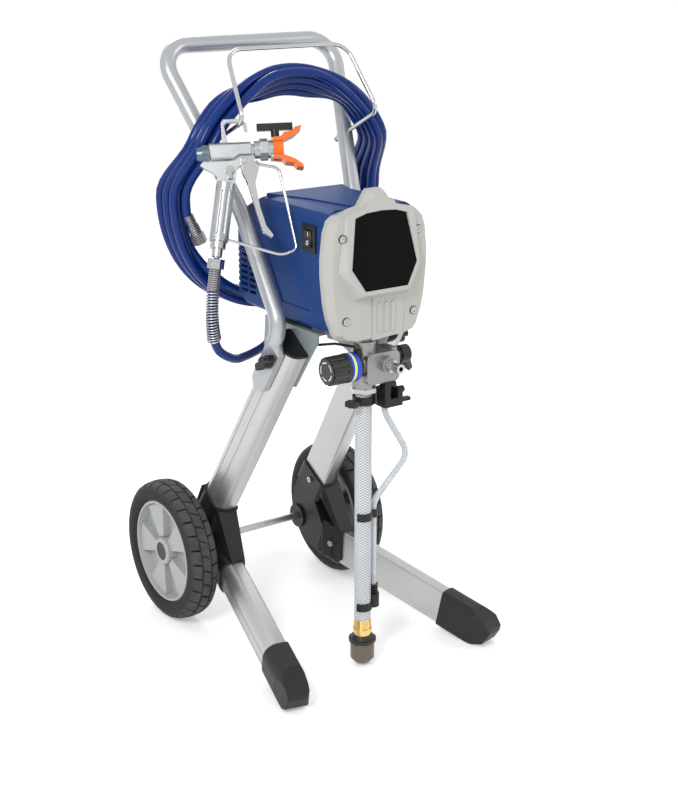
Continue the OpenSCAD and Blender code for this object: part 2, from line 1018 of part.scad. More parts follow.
cover_points = [[66, 669], [-66, 669], [59.5, 551], [-59.5, 551]];
label_tilt = 9.84;
label_at = [0, -349.6, 626];
label_half = [[0, -32.3], [36.9, -32.3], [56.8, 0], [45.2, 70], [26, 75.5], [0, 77]];
label_t = 1;
cover_taper = 6;

module front_cover() {
  color("#cfccc5")
    seat()
      difference() {
        union() {
          for (o = [cover_half, hump_half])
            hull() {
              translate([0, housing_front - 9, 0])
                front_extrude(9)
                  polygon(full(o));
              translate([0, cover_face, 0])
                front_extrude(1)
                  offset(delta = -cover_taper)
                    polygon(full(o));
            }
          // Raised frame of the label
          intersection() {
            hull() {
              translate([0, cover_face, label_at[2]])
                front_extrude(1)
                  offset(delta = 15)
                    polygon(full(label_half));
              translate(label_at)
                rotate([-label_tilt, 0, 0])
                  front_extrude(1)
                    offset(delta = 6)
                      polygon(full(label_half));
            }
            translate([0, -380, 0])
              front_extrude(80) {
                polygon(full(cover_half));
                polygon(full(hump_half));
              }
          }
          // Lower panel with three bars
          translate([0, cover_face - 1.5, 0])
            front_extrude(3) {
              polygon([[-14, 517], [40, 521], [44, 580], [-14, 580]]);
            }
          translate([0, cover_face - 2.7, 0])
            front_extrude(3)
              for (x = [-2, 10, 22]) {
                translate([x - 3.5, 530])
                  square([7, 38]);
                for (z = [530, 568])
                  translate([x, z])
                    circle(d = 7);
              }
          for (p = cover_points)
            translate([p[0], cover_face, p[1]])
              cyl_y(18, 10);
        }
        // Pocket for the gears and the connecting rod
        translate([0, pocket_y, 0])
          front_extrude(30) {
            translate([-pump_x, crank_z])
              circle(d = gear_module * gear_teeth + 5);
            translate([0, motor_z])
              circle(d = bearing_d);
            translate([-pump_x - 20.2, 500])
              square([40.4, crank_z - 500]);
          }
        translate(label_at)
          rotate([-label_tilt, 0, 0])
            translate([0, -10, 0])
              front_extrude(10 + label_t)
                offset(delta = 0.1)
                  polygon(full(label_half));
        for (p = cover_points)
          translate([p[0], cover_face - 1, p[1]]) {
            cyl_y(5.5, 40);
            translate([0, -20, 0])
              cyl_y(13, 23);
          }
      }
}

module label_plate() {
  color("#0c0c0e")
    seat()
      translate(label_at)
        rotate([-label_tilt, 0, 0])
          front_extrude(label_t)
            polygon(full(label_half));
}

module cover_screws() {
  color(zinc)
    seat()
      for (p = cover_points)
        translate([p[0], cover_face + 2, p[1]])
          difference() {
            union() {
              cyl_y(screw_d, 24);
              translate([0, -4, 0])
                cyl_y(10, 4);
            }
            translate([0, -5, 0])
              rotate([-90, 0, 0])
                hex(5, 3);
          }
}

// Screws of the wheel brackets and of the front cover
module screws() {
  bracket_screws();
  cover_screws();
}

module motor_can() {
  color("#3a3d40")
    seat()
      difference() {
        at_motor(housing_rear - 5.8)
          cyl_y(can_d, can_rear - housing_rear + 5.8);
        at_motor(housing_rear - 10)
          cyl_y(can_d - 5, can_rear - housing_rear + 6);
        at_motor(can_rear - 10)
          cyl_y(motor_shaft_d + 2 * shaft_gap, 20);
      }
}

fan_y = -118;
fan_d = 74;

module rotor() {
  color("#7d8083")
    seat() {
      at_motor(gear_front - 1)
        cyl_y(motor_shaft_d, fan_y - gear_front + 5);
      at_motor(gear_front)
        front_extrude(gear_w)
          rotate(mesh_angle)
            gear_outline(pinion_teeth);
      at_motor(housing_rear + 18)
        cyl_y(54, 80);
      at_motor(fan_y)
        rotate([-90, 0, 0]) {
          cylinder(d = fan_d, h = 2);
          cylinder(d = 18, h = 8);
          for (a = [0 : 30 : 330])
            rotate(a)
              translate([14, -1, 0])
                cube([fan_d / 2 - 15, 2, 9]);
        }
    }
}

pin_z = crank_z + crank_throw;

module crank_gear() {
  color("#8c8f92")
    seat()
      difference() {
        union() {
          at_crank(gear_front)
            front_extrude(gear_w)
              rotate(mesh_angle + 180 + 180 / gear_teeth)
                gear_outline(gear_teeth);
          at_crank(gear_front)
            cyl_y(crank_d, 50);
          translate([-pump_x, gear_front - 13, pin_z])
            cyl_y(crank_pin_d, 14);
        }
        for (a = [0 : 60 : 300])
          at_crank(gear_front - 1)
            rotate([0, a + 30, 0])
              translate([24, 0, 0])
                cyl_y(13, gear_w + 2);
      }
}

rod_t = 9.6;
slot_h = 22;
head_d = 11;
neck_d = 7;
head_t = 5;
slot_z = 546.5;

module connecting_rod() {
  color("#9a9c9e")
    seat()
      difference() {
        union() {
          translate([-pump_x, pump_y - rod_t / 2, pin_z])
            cyl_y(30, rod_t);
          translate([-pump_x - 8, pump_y - rod_t / 2, slot_z + slot_h])
            cube([16, rod_t, pin_z - slot_z - slot_h]);
          translate([-pump_x - 12, pump_y - 7.5, slot_z - 3])
            cube([24, 15, slot_h + 7]);
        }
        translate([-pump_x, pump_y - 10, pin_z])
          cyl_y(crank_pin_d + 2 * shaft_gap, 20);
        translate([-pump_x - 15, pump_y - head_d / 2 - 0.4, slot_z])
          cube([30, head_d + 0.8, slot_h]);
        translate([-pump_x - 15, pump_y - neck_d / 2 - 0.6, slot_z - 10])
          cube([30, neck_d + 1.2, 20]);
      }
}

stroke = 2 * crank_throw;
head_z = slot_z + stroke + 0.5;
rod_low = 466;

module at_pump(z) {
  translate([-pump_x, pump_y, z])
    children();
}

module piston_rod() {
  color("#d3d5d6")
    seat() {
      at_pump(head_z)
        cylinder(d = head_d, h = head_t);
      at_pump(534)
        cylinder(d = neck_d, h = head_z - 534);
      at_pump(rod_low)
        cylinder(d = piston_d, h = 534 - rod_low);
      at_pump(rod_low - 9)
        cylinder(d = 17.8, h = 9);
    }
}

// ---- Pump ----

sleeve_d = 24;
neck_out_d = 22;
block_z = 452;
block_top = 498;
outlet_x = 8;
outlet_z = 480;
sensor_y = -328;
sensor_z = 480;
sensor_stub = 9.8;
valve_y = -325;
valve_z = 484;

// Rectangle with round corners
module soft_square(corner, size, r) {
  translate(corner) {
    translate([r, 0])
      square([size[0] - 2 * r, size[1]]);
    translate([0, r])
      square([size[0], size[1] - 2 * r]);
    for (x = [r, size[0] - r])
      for (y = [r, size[1] - r])
        translate([x, y])
          circle(r = r);
  }
}

module pump_manifold() {
  color("#aeb0b0")
    seat()
      difference() {
        union() {
          translate([0, -345, 0])
            front_extrude(42)
              soft_square([-26, block_z], [58, block_top - block_z], 9);
          at_pump(block_z - 8)
            cylinder(d = 34, h = 514 - block_z + 8);
          at_pump(510)
            cylinder(d = neck_out_d, h = 20);
          translate([outlet_x, -352, outlet_z])
            cyl_y(24, 20);
          translate([22, -338, block_top - 6])
            cube([9.9, 26, 8]);
          // Boss of the pressure sensor
          translate([-32, sensor_y, sensor_z])
            cyl_x(26, 8);
        }
        at_pump(block_z - 20)
          cylinder(d = sleeve_d + 0.1, h = 58);
        at_pump(block_z)
          cylinder(d = piston_d + 2 * shaft_gap, h = 100);
        // Paint way to the outlet
        translate([outlet_x, -360, outlet_z])
          cyl_y(outlet_bore, 32);
        translate([outlet_x, -360, outlet_z])
          cyl_y(11, 20.2);
        // Sockets of the pressure sensor and the prime valve
        translate([-33, sensor_y, sensor_z])
          cyl_x(sensor_stub + 0.2, 4.5);
        translate([24, valve_y, valve_z])
          cyl_x(12, 20);
      }
}

// Sleeve of the pump with its packings, inlet valve and suction nut
module pump_cylinder() {
  color("#c2c2be")
    seat() {
      at_pump(448)
        ring(sleeve_d, 18, 41);
      difference() {
        union() {
          at_pump(437)
            hex(34, 7);
          at_pump(444)
            cylinder(d = sleeve_d, h = 5);
          at_pump(412)
            cylinder(d = suction_bore, h = 25);
        }
        at_pump(400)
          cylinder(d = 10, h = 60);
      }
    }
}

module outlet_fitting() {
  color("#c9c6bd")
    seat()
      difference() {
        translate([outlet_x, -352 + 12, outlet_z])
          rotate([90, 0, 0]) {
            cylinder(d = 10.8, h = 12.5);
            translate([0, 0, 12.1])
              hex(17, 9);
            translate([0, 0, 21])
              cylinder(d = outlet_d - 2, h = 4.5);
            translate([0, 0, 25])
              cylinder(d = outlet_d, h = 14);
          }
        translate([outlet_x, -400, outlet_z])
          cyl_y(outlet_bore, 70);
      }
}

collar_x = -32.2;
ring_x = -38;
knob_x = -54;
knob_end = -86;

module pressure_sensor() {
  color(black)
    seat()
      difference() {
        translate([0, sensor_y, sensor_z]) {
          translate([ring_x, 0, 0])
            cyl_x(knob_d - 7, collar_x - ring_x);
          translate([collar_x - 0.1, 0, 0])
            cyl_x(sensor_stub, 3.6);
          translate([knob_end + 10, 0, 0])
            cyl_x(10, ring_x - knob_end - 10);
          // Entry of the lead
          translate([ring_x, -10, knob_d / 2 - 9])
            cube([collar_x - ring_x, 10, 13]);
        }
        translate(lead_at)
          along(unit(lead_path[1] - lead_at))
            translate([0, 0, -0.1])
              cylinder(d = lead_d + 0.3, h = 2);
        rod_path(lead_path, [0, 6, 14, 14, 0], lead_d / 2 + 0.15);
      }
}

module pressure_knob() {
  color(black)
    seat()
      translate([0, sensor_y, sensor_z])
        difference() {
          union() {
            translate([knob_x, 0, 0])
              cyl_x(knob_d, ring_x - knob_x - 0.5);
            translate([knob_end + 2, 0, 0])
              cyl_x(knob_d - 1, knob_x - knob_end - 2);
            translate([knob_end, 0, 0])
              cyl_x(knob_d - 6, 2);
          }
          translate([knob_end + 8, 0, 0])
            cyl_x(10 + 2 * shaft_gap, 50);
          for (a = [0 : 30 : 330])
            rotate([a, 0, 0])
              translate([knob_end - 1, 0, knob_d / 2 + 1.5])
                cyl_x(7, knob_x - knob_end - 4);
        }
}

lead_d = 4;
lead_at = [-35.1, -333, 501];
lead_path = [lead_at, [-36, -330, 509], [-48, -296, 508], [-60, -262, 500], [-58, -230, 510]];

module control_lead() {
  color(black)
    seat()
      rod_path(lead_path, [0, 6, 14, 14, 0], lead_d / 2);
}

module prime_valve() {
  color(black)
    seat()
      translate([0, valve_y, valve_z]) {
          translate([24, 0, 0])
            cyl_x(11.8, 14);
          translate([32.1, 0, 0])
            rotate([0, 90, 0])
              hex(22, 11.9);
          translate([43, 0, 0])
            cyl_x(10, 15);
        }
}

module prime_lever() {
  color(black)
    seat()
      translate([0, valve_y, valve_z])
        difference() {
          union() {
            translate([44.5, 0, 0])
              cyl_x(26, 15);
            rotate([25, 0, 0])
              translate([50, -6, -31])
                cube([9, 12, 28]);
            translate([56, 0, 0])
              rotate([25, -35, 0])
                translate([-4, -5, -40])
                  cube([8, 10, 26]);
          }
          translate([43, 0, 0])
            cyl_x(10 + 2 * shaft_gap, 15.5);
        }
}

// Pail hook clamped round the pump, with a cradle for the drain tube
module pail_hook() {
  color(black)
    seat()
      difference() {
        union() {
          translate([4, -348, 439])
            cube([20, 14, block_z - 439.2]);
          translate([4, -348, 414])
            cube([32, 30, 26]);
          translate([36, -346, 418])
            cube([16, 8, 5]);
          translate([30, -340, 436])
            cyl_x(10, 12);
        }
        translate([14, -354, 426])
          cube([14, 20, 20]);
        translate([20, pump_y - 4, 400])
          cylinder(d = drain_d + 0.2, h = 60);
        at_pump(400)
          cylinder(d = 40.2, h = 80);
      }
}

suction_top = 436.5;
suction_end = 76;

module suction_tube() {
  color("#d6dadc")
    seat()
      at_pump(suction_end)
        ring(suction_d, suction_bore + 0.1, suction_top - suction_end);
}

adapter_z = strainer_z + 45;
adapter_stub = 16;
adapter_bore = 15;

// Brass adapter between the suction tube and the strainer
module suction_adapter() {
  color("#c79a4b")
    seat()
      difference() {
        union() {
          at_pump(adapter_z - 8)
            cylinder(d = adapter_stub + 4, h = 10);
          at_pump(adapter_z)
            cylinder(d = 26, h = 6);
          at_pump(adapter_z + 6)
            cylinder(d = 29, h = 5);
          at_pump(adapter_z + 11)
            cylinder(d = suction_d, h = suction_end - adapter_z - 11.1);
          for (h = [13 : 3 : 22])
            at_pump(adapter_z + h)
              cylinder(d = suction_d + 1.6, h = 1.4);
          at_pump(suction_end - 1)
            cylinder(d = suction_bore, h = 20);
        }
        at_pump(adapter_z - 10)
          cylinder(d = adapter_bore, h = 80);
      }
}

// Inlet strainer with the flange that it hangs from
module strainer() {
  color("#2a2520")
    seat()
      difference() {
        union() {
          at_pump(strainer_z + 34)
            cylinder(d = 42, h = 5);
          at_pump(strainer_z + 38.9)
            cylinder(d1 = 36, d2 = 30, h = adapter_z - strainer_z - 39);
          at_pump(strainer_z + 7)
            cylinder(d = strainer_d, h = 27.5);
          at_pump(strainer_z)
            cylinder(d1 = strainer_d - 12, d2 = strainer_d - 1, h = 7.5);
        }
        at_pump(strainer_z + 4)
          cylinder(d = adapter_bore + 8, h = 31);
        at_pump(strainer_z + 30)
          cylinder(d = adapter_stub + 4.2, h = 40);
      }
}

drain_x = 4.5;
drain_top = 451.9;
drain_end = 128;
drain_path = [[20, pump_y - 4, drain_top], [20, pump_y - 4, 400], [66, pump_y - 4, 326],
              [drain_x, pump_y, 262], [drain_x, pump_y, drain_end]];
drain_bends = [0, 40, 24, 24, 0];

module drain_tube() {
  color("#e3e6e8")
    seat()
      rod_path(drain_path, drain_bends, drain_d / 2, drain_d / 2 - 1.5);
}

clip_h = 12;
clip_high = 238;
clip_low = 92;
clamp_z = 419;

// Clamp round the top of the suction tube, with the wing of its screw
module suction_clamp() {
  difference() {
    union() {
      cylinder(d = suction_d + 8, h = clip_h);
      translate([-suction_d / 2 - 12, 0, clip_h / 2])
        cyl_x(8, 12);
      translate([-suction_d / 2 - 23, 0, clip_h / 2])
        cyl_x(10, 12);
      translate([-suction_d / 2 - 23, -8.5, clip_h / 2 - 4])
        cube([12, 17, 8]);
    }
    translate([0, 0, -1])
      cylinder(d = suction_d + 0.2, h = clip_h + 2);
  }
}

module tube_clips() {
  color(black)
    seat() {
      at_pump(clamp_z)
        rotate(20)
          suction_clamp();
      for (z = [clip_high, clip_low])
        difference() {
          union() {
            at_pump(z)
              cylinder(d = suction_d + 4, h = clip_h);
            translate([drain_x, pump_y, z])
              if (z == clip_high)
                cylinder(d = drain_d + 4, h = clip_h);
              else {
                // Ribbed deflector on the end of the drain tube
                cylinder(d = 19, h = drain_end - clip_low - 15);
                for (h = [0 : 5 : 10])
                  translate([0, 0, drain_end - clip_low - 15.5 + h])
                    cylinder(d1 = 12, d2 = 16, h = 5.1);
                translate([0, 0, 8])
                  cylinder(d = drain_d - 3.2, h = drain_end - clip_low + 6);
              }
          }
          at_pump(z - 1)
            cylinder(d = suction_d + 0.2, h = 40);
          if (z == clip_high)
            translate([drain_x, pump_y, z - 1])
              cylinder(d = drain_d + 0.2, h = 40);
          else
            translate([drain_x, pump_y, z - 1])
              cylinder(d = 5, h = 60);
          translate([-pump_x - 20, pump_y - 4, z - 1])
            cube([20, 30, 20]);
        }
    }
}

// ---- Switch and cord entry ----

rocker_w = 17;
rocker_h = 24;
rocker_pin_d = 3;

module at_switch() {
  seat()
    translate([-shroud_x, switch_y, switch_z])
      rotate([0, -90, 0])
        children();
}

// Frame of the switch in the shroud, with +Z to the outside
module switch_bezel() {
  color(black)
    at_switch()
      difference() {
        union() {
          translate([-switch_h / 2 - 2, -switch_w / 2 - 2, 0])
            cube([switch_h + 4, switch_w + 4, 2.5]);
          translate([-switch_h / 2 + 0.3, -switch_w / 2 + 0.3, -14])
            cube([switch_h - 0.6, switch_w - 0.6, 14]);
        }
        translate([-rocker_h / 2 - 0.5, -rocker_w / 2 - 0.5, -9])
          cube([rocker_h + 1, rocker_w + 1, 20]);
        translate([0, -20, -1])
          cyl_y(rocker_pin_d, 40);
      }
}

module power_rocker() {
  color(black)
    at_switch()
      translate([0, 0, -1]) {
        translate([0, rocker_w / 2, 0])
          rotate([90, 0, 0])
            linear_extrude(rocker_w)
              polygon([[-11, 2], [-11.5, 6.5], [0, 4], [11.5, 4.5], [11, 2], [0, -3]]);
        translate([0, -13, 0])
          cyl_y(rocker_pin_d - 2 * pin_gap, 26);
      }
}

module cord_gland() {
  color(black)
    seat()
      at_gland()
        difference() {
          union() {
            translate([0, 0.1, 0])
              cyl_y(24, 6);
            translate([0, -8, 0])
              cyl_y(15.8, 9);
            translate([0, 6, 0])
              cyl_y(14, 14);
          }
          translate([0, -20, 0])
            cyl_y(8, 60);
        }
}

// ---- Spray gun, hung on the left arm of the hose rack ----

gun_y = 0;
// The gun hangs from this point of the rod, turned by these angles about Z, Y and X
hang_at = flip(rack_corner + (rack_cross - rack_corner) * 0.175);
hang_turn = [-22.5, -1.5, -28];
// Point of the gun's own drawing that lies on the rod
hang_point = [-111, gun_y, 808];
barrel_z = 772.5;
trigger_at = [-104.5, 756.5];
lug_t = 9;
guard_d = 4;
body_shape = [[-153, 784], [-97, 785], [-94, 781], [-94, 765], [-112, 765], [-121, 758],
              [-151, 755]];
neck_shape = [[-151, 762], [-121, 766], [-97, 768], [-94, 768], [-90, 764], [-90, 756], [-94, 752],
              [-108, 751], [-116, 745], [-120, 722], [-146, 726], [-144, 737], [-151, 742],
              [-167, 752], [-165, 756]];
hook_shape = [[-134, 783], [-134, 812], [-131, 817.5], [-106, 817.5], [-98, 810], [-97, 800],
              [-101, 800], [-102.6, 808], [-107, 812.9], [-126, 812.9], [-130, 808], [-126, 783]];
trigger_shape = [[-110, 760.5], [-100, 761], [-96, 759], [-88, 750], [-84, 747], [-91, 724],
                 [-87, 690], [-80, 662], [-70.5, 648], [-73.5, 644], [-85, 654], [-94, 690],
                 [-101, 722], [-109, 742]];
grip_top = [-132.5, gun_y, 726];
grip_dir = unit([-14.5, 0, -76]);
swivel_at = grip_top + grip_dir * 84;

module at_gun() {
  seat()
    translate(hang_at)
      rotate(hang_turn)
        translate(-hang_point)
          children();
}

module gun_slab(t) {
  translate([0, gun_y - t / 2, 0])
    front_extrude(t)
      children();
}

module gun_body() {
  color("#b7b9ba")
    at_gun()
      difference() {
        union() {
          intersection() {
            gun_slab(gun_t)
              polygon(body_shape);
            translate([-200, gun_y, barrel_z - 2])
              cyl_x(gun_t + 6, 200);
          }
          gun_slab(lug_t)
            polygon(neck_shape);
          gun_slab(8)
            polygon(hook_shape);
          translate([-153, gun_y, barrel_z - 3])
            rotate([0, -90, 0]) {
              cylinder(d = 26, h = 10);
              cylinder(d1 = 26, d2 = 18, h = 18);
            }
          translate([-95, gun_y, barrel_z])
            cyl_x(tip_thread_d, 24);
          // Grip with flutes
          translate(grip_top)
            along(grip_dir)
              difference() {
                cylinder(d = grip_d, h = 84);
                for (a = [0 : 45 : 315])
                  rotate(a + 22.5)
                    translate([grip_d / 2 + 1.6, 0, 12])
                      cylinder(d = 6, h = 62);
              }
          translate([trigger_at[0], gun_y - 8.6, trigger_at[1]])
            cyl_y(trigger_pin_d, 17.2);
          for (y = [-8.6, 7.4])
            translate([trigger_at[0], gun_y + y, trigger_at[1]])
              cyl_y(8, 1.2);
        }
        // Paint way and needle bore
        translate([-165, gun_y, barrel_z])
          cyl_x(7, 60);
        translate([-110, gun_y, barrel_z])
          cyl_x(4, 50);
        translate(grip_top - grip_dir * 30)
          along(grip_dir)
            cylinder(d = 8, h = 130);
        // Bore of the lock pin
        translate([-126, gun_y - 20, 744])
          cyl_y(4, 40);
      }
}

module gun_needle() {
  color(zinc)
    at_gun() {
      translate([-158, gun_y, barrel_z])
        cyl_x(5, 44);
      translate([-120, gun_y, barrel_z])
        cyl_x(3, 36);
    }
}

module trigger() {
  color(silver)
    at_gun()
      difference() {
        gun_slab(trigger_t)
          polygon(trigger_shape);
        // Slot for the neck of the gun
        translate([0, gun_y - lug_t / 2 - 0.4, 0])
          front_extrude(lug_t + 0.8)
            polygon([[-130, 780], [-80, 780], [-80, 752], [-92, 742], [-96, 722], [-130, 690]]);
        translate([trigger_at[0], gun_y - 20, trigger_at[1]])
          cyl_y(trigger_pin_d + 2 * pin_gap, 40);
        translate([0, gun_y - lug_t / 2 - 0.4, 0])
          front_extrude(lug_t + 0.8)
            translate(trigger_at)
              circle(r = 14);
      }
}

module trigger_lock() {
  color("#d8641c")
    at_gun()
      translate([-126, gun_y, 744]) {
        translate([0, -9.4, 0])
          cyl_y(4 - 2 * pin_gap, 14);
        translate([0, -9.4, 0])
          cyl_y(12, 4.4);
        translate([-3, -9.4, -13])
          cube([6, 4.4, 10]);
      }
}

guard_path = [[-88.6, gun_y, 756.3], [-83, gun_y, 751.5], [-56, gun_y, 745], [-38, gun_y, 627],
              [-60, gun_y, 619.5], [-140, gun_y, 647.5]];

module trigger_guard() {
  color(silver)
    at_gun()
      difference() {
        rod_path(guard_path, [0, 4, 12, 8, 30, 0], guard_d / 2);
        translate(grip_top)
          along(grip_dir)
            cylinder(d = grip_d + 0.2, h = 84);
      }
}

module gun_swivel() {
  color("#a9a9a6")
    at_gun()
      translate(swivel_at)
        along(grip_dir)
          difference() {
            union() {
              translate([0, 0, 0.1])
                cylinder(d = 22, h = 9.9);
              translate([0, 0, 10])
                cylinder(d = 15, h = 12);
              translate([0, 0, -8])
                cylinder(d = 7.9, h = 8.1);
            }
            translate([0, 0, -10])
              cylinder(d = 5, h = 40);
          }
}

tip_x = -58;

module tip_guard() {
  color("#e06a1c")
    at_gun()
      difference() {
        union() {
          translate([-89, gun_y, barrel_z])
            cyl_x(25, 27);
          translate([-81, gun_y, barrel_z])
            rotate([0, 90, 0])
              hex(28, 11);
          translate([-63, gun_y, barrel_z])
            cyl_x(27, 15);
          for (s = [0, 1])
            translate([0, 0, s * 2 * barrel_z])
              mirror([0, 0, s])
                gun_slab(22)
                  polygon([[-66, 782], [-66, 787], [-50, 789], [-46, 794], [-34, 796], [-30, 801],
                           [-21, 803], [-22, 798], [-32, 790], [-48, 783]]);
        }
        translate([-95, gun_y, barrel_z])
          cyl_x(tip_thread_d + 2 * pin_gap, 24.5);
        translate([-75, gun_y, barrel_z])
          cyl_x(4, 60);
        translate([tip_x, gun_y, barrel_z - 30])
          cylinder(d = tip_d + 2 * pin_gap, h = 60);
      }
}

module spray_tip() {
  color(black)
    at_gun()
      translate([tip_x, gun_y, barrel_z]) {
        translate([0, 0, -14])
          cylinder(d = tip_d, h = 38);
        translate([0, 0, 16.5])
          cylinder(d = 12, h = 12);
        translate([-25.5, -3.5, 27])
          cube([51, 7, 10]);
      }
}

// ---- Hose ----

// Tube along the points p as one closed surface; no point runs along Y
module hose(p, d, sides) {
  last = len(p) - 1;
  dirs = [for (i = [0 : last]) unit(p[min(i + 1, last)] - p[max(i - 1, 0)])];
  rings = [for (i = [0 : last]) let (n = unit(cross(dirs[i], [0, 1, 0])), b = cross(dirs[i], n))
           for (j = [0 : sides - 1])
             p[i] + d / 2 * (cos(j * 360 / sides) * n + sin(j * 360 / sides) * b)];
  function at(i, j) = i * sides + j % sides;
  polyhedron(points = concat(rings, [p[0], p[last]]), faces = concat(
    [for (i = [0 : last - 1]) for (j = [0 : sides - 1]) [at(i, j), at(i + 1, j + 1), at(i, j + 1)]],
    [for (i = [0 : last - 1]) for (j = [0 : sides - 1]) [at(i, j), at(i + 1, j), at(i + 1, j + 1)]],
    [for (j = [0 : sides - 1]) [len(rings), at(0, j), at(0, j + 1)]],
    [for (j = [0 : sides - 1]) [len(rings) + 1, at(last, j + 1), at(last, j)]]));
}

// Pitch of the strands between the two layers, and along a layer at the sides and at the rack
layer_pitch = hose_d + 0.6;
side_pitch = 20;
rack_pitch = hose_d + 0.55;
coil_start = 277;
coil_end = 193 + 7 * 360;
shift_from = 205;
// Places of the strands in the section, one per turn, as [place along the layer, layer]
places = [[-2, 0.5], [-1, 0.5], [0, 0.5], [1, 0.5], [1.5, -0.5], [0.5, -0.5], [-0.5, -0.5],
          [-1.5, -0.5]];

function ease(t) = let (c = max(0, min(1, t))) c * c * (3 - 2 * c);
function lap(a) = floor((a - shift_from) / 360);
// Start of the stretch in which a strand moves over: first one layer, then between them, then the other
function shift_start(n) = places[n][1] < 0 ? 0 : places[n + 1][1] < 0 ? 35 : 70;
function place(a) =
  let (n = lap(a), t = ease((a - shift_from - 360 * n - shift_start(n)) / 30))
  places[n] * (1 - t) + places[n + 1] * t;
function rise(a) = max(0, 90 - abs(a - 360 * floor(a / 360) - 90));
function coil_y(a) =
  sin(a) < 0 ? -60 + 20 * pow(sin(a), 2) : -60 - 51 * ease(rise(a) / 28) + 8 * ease((rise(a) - 50) / 40);
function coil_radius(a) =
  coil_r - 2.5 * ease(rise(a) / 25) - 8 * ease((rise(a) - 46) / 30);
function coil_tilt(a) = 45 * ease((rise(a) - 46) / 34);
function coil_pitch(a) = side_pitch - (side_pitch - rack_pitch) * ease(rise(a) / 24);

function coil_point(a) =
  let (s = place(a), u = s[0] * coil_pitch(a), v = s[1] * layer_pitch, t = coil_tilt(a),
       r = coil_radius(a) - u * sin(t) + v * cos(t), y = coil_y(a) + u * cos(t) + v * sin(t))
  [r * cos(a), y, coil_z + r * sin(a)];

coil_step = 15;
coil_path = [for (a = [coil_start : coil_step : coil_end]) coil_point(a)];

module hose_coil() {
  color("#1f3f9a")
    seat()
      hose(coil_path, hose_d, 6);
}

// A point of the gun's own drawing where it hangs, turned in the order of rotate()
function turn_x(p, a) = [p[0], p[1] * cos(a) - p[2] * sin(a), p[1] * sin(a) + p[2] * cos(a)];
function turn_y(p, a) = [p[0] * cos(a) + p[2] * sin(a), p[1], p[2] * cos(a) - p[0] * sin(a)];
function turn_z(p, a) = [p[0] * cos(a) - p[1] * sin(a), p[0] * sin(a) + p[1] * cos(a), p[2]];
function hung(p) =
  hang_at + turn_z(turn_y(turn_x(p - hang_point, hang_turn[0]), hang_turn[1]), hang_turn[2]);

guard_bore = hose_d + 0.6;
gun_end = hung(swivel_at + grip_dir * 24.5);
// Route of the free length from the gun to the coil, with the crimped end of the hose first
lead_start = [-196.3, -208, 587.7];
gun_end_dir = unit(lead_start - gun_end);
lead_gap = 0.8;
lead_route = [lead_start, lead_start + 12 * gun_end_dir, [-199, -209, 555], [-197, -207, 534],
              [-191, -201, 513], [-179, -192, 495], [-158, -180, 480], [-134, -165, 469],
              [-108, -149, 465], [-82, -134, 464], [-56, -120, 466], [-32, -107, 475], [-10, -94, 491],
              [4, -84, 509]];
coil_dir = unit(coil_path[1] - coil_path[0]);
lead_points = concat(lead_route, [coil_path[0] - 7 * coil_dir, coil_path[0] - lead_gap * coil_dir]);

module hose_lead() {
  color("#1f3f9a")
    seat()
      hose(lead_points, hose_d, 10);
}

end_at = coil_path[len(coil_path) - 1];
end_dir = unit([0.4, -0.1, -0.92]);

// Swivel nut, ferrule and bend guard at each end of the hose
module hose_ends() {
  l = norm(lead_start - gun_end);
  color("#6d6f72")
    seat() {
      translate(gun_end)
        along(gun_end_dir)
          difference() {
            union() {
              hex(21, 14);
              cylinder(d = 17, h = l - lead_gap);
            }
            translate([0, 0, -1])
              cylinder(d = 5, h = l + 5);
          }
      translate(end_at)
        along(end_dir)
          difference() {
            union() {
              translate([0, 0, 3])
                cylinder(d = 16, h = 18);
              translate([0, 0, 20])
                cylinder(d = 18, h = 14);
              translate([0, 0, 34])
                hex(19, 16);
            }
            translate([0, 0, 10])
              cylinder(d = 6, h = 60);
          }
    }
}

// Least gap of the coil to itself, between rings that are not neighbours
gaps = [for (i = [0 : len(coil_path) - 1]) for (j = [i + 12 : len(coil_path) - 1])
        norm(coil_path[i] - coil_path[j]) - hose_d];
echo(least_gap = min(gaps), loops = (coil_end - coil_start) / 360);

mirror([1, 0, 0]) upper_leg();  // upper_leg_left
upper_leg();  // upper_leg_right
upper_leg_caps();
mirror([1, 0, 0]) lower_leg();  // lower_leg_left
lower_leg();  // lower_leg_right
feet();
mirror([1, 0, 0]) wheel_bracket();  // wheel_bracket_left
wheel_bracket();  // wheel_bracket_right
screws();
axle();
axle_retainers();
mirror([1, 0, 0]) wheel_hub();  // wheel_hub_left
wheel_hub();  // wheel_hub_right
mirror([1, 0, 0]) tyre();  // tyre_left
tyre();  // tyre_right
mirror([1, 0, 0]) hub_cap();  // hub_cap_left
hub_cap();  // hub_cap_right
handle();
frame_fasteners();
mirror([1, 0, 0]) handle_knob();  // handle_knob_left
handle_knob();  // handle_knob_right
hose_rack();
motor_bracket();
shroud();
drive_housing();
front_cover();
label_plate();
motor_can();
rotor();
crank_gear();
connecting_rod();
piston_rod();
pump_manifold();
pump_cylinder();
outlet_fitting();
pressure_sensor();
pressure_knob();
control_lead();
prime_valve();
prime_lever();
pail_hook();
suction_tube();
suction_adapter();
strainer();
drain_tube();
tube_clips();
switch_bezel();
power_rocker();
cord_gland();
gun_body();
gun_needle();
trigger();
trigger_lock();
trigger_guard();
gun_swivel();
tip_guard();
spray_tip();
hose_ends();
hose_lead();
hose_coil();
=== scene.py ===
"""Looks of an airless paint sprayer on a wheeled cart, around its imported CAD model."""

import math

